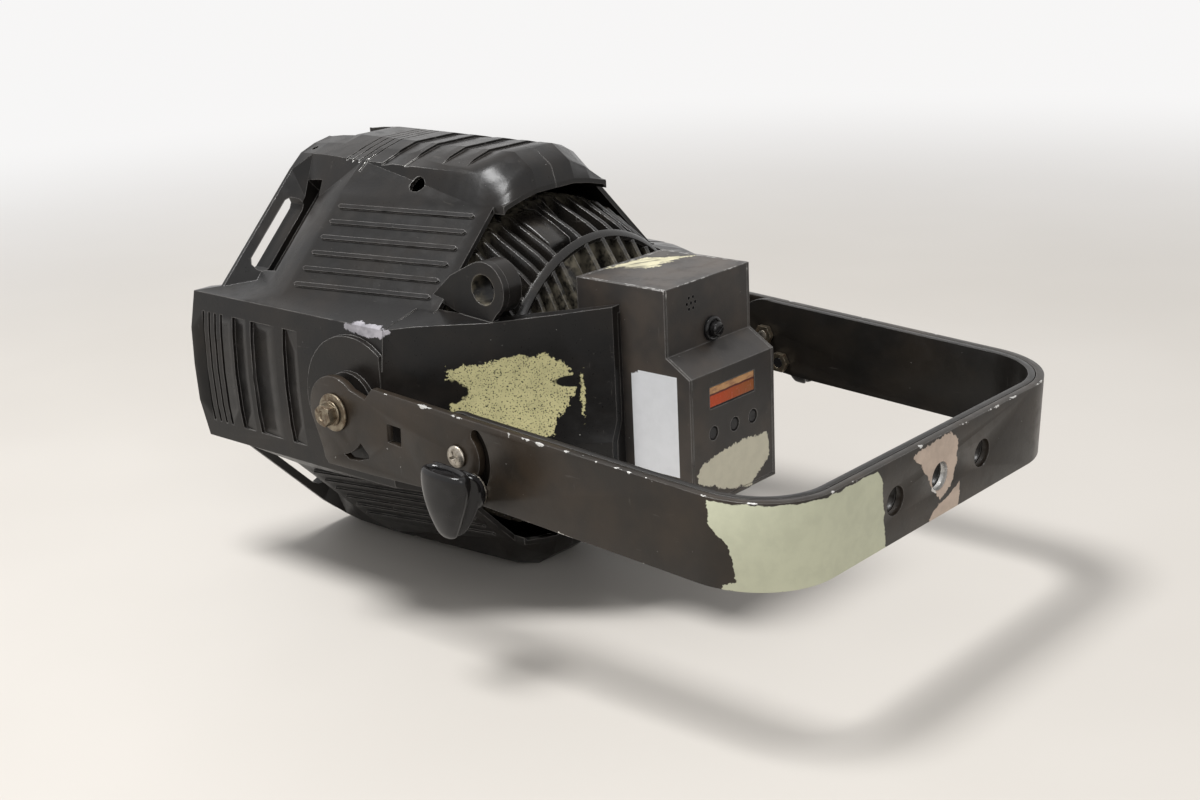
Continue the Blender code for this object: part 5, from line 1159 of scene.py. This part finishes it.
# %% [markdown]
# ## The finned core
#
# The heat sink is one casting: a drum with a stepped dome behind it, and upright fins side by side on both, so
# that warm air rises between them. A round bar ties the fins together, a sloping collar closes their front
# ends, and one flat land breaks their row. Drum, dome, bar and collar are lathed. Each fin is the slice that
# an upright plane cuts out of the fins' common envelope, so its outline is worked out from that envelope.

# %% Finned core
ALONG_CORE = Matrix.Translation(CORE) @ Matrix.Rotation(math.radians(-90), 4, "X")
FIN_ENVELOPE = ((87.2, -67.0), (87.2, 36.0), (84.0, 42.0), (76.0, 60.0), (71.0, 68.5), (50.0, 83.1))
FIN_FOOT = ((46.0, 83.1), (46.0, 70.5), (64.0, 58.5), (64.0, -67.0))
FIN_THICK = 2.9
MID_GAP = 0.5
UPPER_FINS = (
    83.2, 77.0, 70.8, 64.4, 58.2, 52.0, 45.8, 39.8, 33.8, 27.6, 9.0,
    -3.5, -15.0, -26.5, -37.0, -46.0, -54.0, -61.0, -67.5, -73.5, -79.0, -83.5,
)
LOWER_FINS = UPPER_FINS + (21.4, 15.2)
LAND_ENVELOPE = ((84.5, -67.0), (84.5, 37.0), (78.5, 50.0), (73.0, 60.0))
LAND_FOOT = [(62.0, 61.5), (62.0, -67.0)]
LAND_ACROSS, LAND_WIDE = 17.8, 15.6


def sliced(line, across, steps=5):
    """Where a plane at a distance from the axis cuts a lathed surface: points of (height, along)."""
    points = []
    for (r1, y1), (r2, y2) in zip(line, line[1:]):
        for step in range(steps + 1):
            radius = r1 + (r2 - r1) * step / steps
            place = (math.sqrt(max(radius ** 2 - across ** 2, 0.0)), y1 + (y2 - y1) * step / steps)
            if not points or math.dist(points[-1], place) > 0.4:
                points.append(place)
    return points


def upright_plate(outline, thick, across):
    """An outline of (height, along) as a plate that stands upright at a distance across the core."""
    stand = Matrix(((0, 0, -1, across * MM), (0, 1, 0, 0), (1, 0, 0, 0), (0, 0, 0, 1)))
    return traced(outline, thick, Matrix.Translation(CORE) @ stand)


def fin(across, side):
    """One fin above or below the axis, cut at its outer face so that it stays inside the envelope."""
    edge = abs(across) + FIN_THICK / 2
    outer = [place for place in sliced(FIN_ENVELOPE, edge) if place[0] > MID_GAP]
    rear = outer[-1][1]
    inner = [place for place in sliced(FIN_FOOT, edge) if place[0] > MID_GAP and place[1] < rear + 0.1]
    if len(inner) < 3:
        inner = [(MID_GAP, rear), (MID_GAP, outer[0][1])]
    outline = [(side * height, along) for height, along in outer + inner]
    return softened(upright_plate(outline, FIN_THICK, across), 0.85, 2)


DRUM_AND_DOME = [
    (0, -70), (62, -70), (62, 58), (44, 71.7), (44, 79.7), (20, 79.7), (20, 83.7), (47, 83.7), (48, 82.7),
    (48, 72.5), (49, 71), (65, 60.6), (66, 59), (66, -70), (77.5, -70), (77.5, -106), (74, -106), (74, -78),
    (0, -78),
]
TIE_BAR = [
    (67.2, 68.0), (67.8, 69.5), (69.6, 69.9), (71.4, 68.9), (72.4, 66.9), (71.6, 65.2), (69.6, 64.6), (67.8, 66.2),
]
SLOPING_COLLAR = [(64, 54), (70, 50), (84.5, 30), (85.5, 26), (85.5, 12), (64, 12)]
pieces = [lathe("turned", profile, ALONG_CORE, 96) for profile in (DRUM_AND_DOME, TIE_BAR, SLOPING_COLLAR)]
for piece in pieces:
    choose(piece)
    bpy.ops.object.shade_smooth_by_angle(angle=math.radians(35))
land = upright_plate(sliced(LAND_ENVELOPE, LAND_ACROSS, 1) + LAND_FOOT, LAND_WIDE, LAND_ACROSS)
pieces.append(softened(land, 0.9, 3))
pieces += [fin(across, 1) for across in UPPER_FINS]
pieces += [fin(across, -1) for across in LOWER_FINS]
core = joined(pieces, "core")
instead(core, "finned_core", ["heat_sink"], "body", finned)

# %% [markdown]
# ## Floor, backdrop and light
#
# A plain pale floor keeps the shadow. A broad soft lamp hangs almost straight overhead, a little towards
# the near side, as the shadow in the photograph says; a dim one behind fills the rear faces. The world is a
# pale room that the camera sees as near white.

# %% Floor
bpy.ops.mesh.primitive_plane_add(size=30.0)
floor = bpy.context.object
floor.name = "floor"


def seen_directly(tree):
    """1 for camera, glossy and transmission rays: what the eye, a polished face or a lens sees."""
    paths = tree.nodes.new("ShaderNodeLightPath")
    either = paths.outputs["Is Camera Ray"]
    for ray in ("Is Glossy Ray", "Is Transmission Ray"):
        most = tree.nodes.new("ShaderNodeMath")
        most.operation = "MAXIMUM"
        tree.links.new(either, most.inputs[0])
        tree.links.new(paths.outputs[ray], most.inputs[1])
        either = most.outputs[0]
    return either


BACKDROP_LEVEL = 0.93
ROOM_LEVEL = 0.42
BACKDROP_TINT = (1.0, 0.992, 0.988)
FADE_FROM, FADE_TO = 0.55, 1.7


def pale_floor():
    """A matt board that fades into the backdrop's white beyond the shadow, and is clear from underneath."""
    f = Finish("pale_floor")
    board_face = f.node("ShaderNodeBsdfPrincipled", inputs={
        "Base Color": f.mix(f.noise(0.4, 3.0, 0.3, 0.7), (0.56, 0.53, 0.49), (0.59, 0.56, 0.52)),
        "Roughness": 0.6,
    })
    white = f.node("ShaderNodeEmission", inputs={"Color": BACKDROP_TINT, "Strength": BACKDROP_LEVEL})
    away = f.node("ShaderNodeVectorMath", {"operation": "LENGTH"}, {0: f.place}, "Value")
    fade = f.step(away, FADE_FROM, FADE_TO) * Wire(f, seen_directly(f.tree))
    upper = f.node("ShaderNodeMixShader", inputs={0: fade, 1: board_face, 2: white})
    below = f.node("ShaderNodeNewGeometry", output="Backfacing")
    clear = f.node("ShaderNodeBsdfTransparent")
    f.node("ShaderNodeOutputMaterial", inputs={
        "Surface": f.node("ShaderNodeMixShader", inputs={0: below, 1: upper, 2: clear}),
    })
    return f.material


paint(floor, pale_floor())

# %% World and lamps
world = bpy.data.worlds.new("pale_room")
bpy.context.scene.world = world
world.use_nodes = True
room = world.node_tree
room.nodes.clear()
strength = room.nodes.new("ShaderNodeMapRange")
strength.inputs["To Min"].default_value = ROOM_LEVEL
strength.inputs["To Max"].default_value = BACKDROP_LEVEL
room.links.new(seen_directly(room), strength.inputs["Value"])
glow = room.nodes.new("ShaderNodeBackground")
glow.inputs["Color"].default_value = (*BACKDROP_TINT, 1.0)
room.links.new(strength.outputs[0], glow.inputs["Strength"])
out = room.nodes.new("ShaderNodeOutputWorld")
room.links.new(glow.outputs[0], out.inputs["Surface"])


LAMP_AIM = Vector((0.0, 0.0, 0.08))


def lamp(name, place, size, power):
    """A round soft lamp, turned to face the object."""
    bpy.ops.object.light_add(type="AREA", location=place)
    made = bpy.context.object
    made.name = name
    made.data.shape = "DISK"
    made.data.size = size
    made.data.energy = power
    made.rotation_euler = (Vector(place) - LAMP_AIM).to_track_quat("Z", "Y").to_euler()


lamp("overhead", (0.55, -0.22, 1.9), 0.75, 42.0)
lamp("fill", (1.5, 1.9, 1.3), 1.4, 14.0)
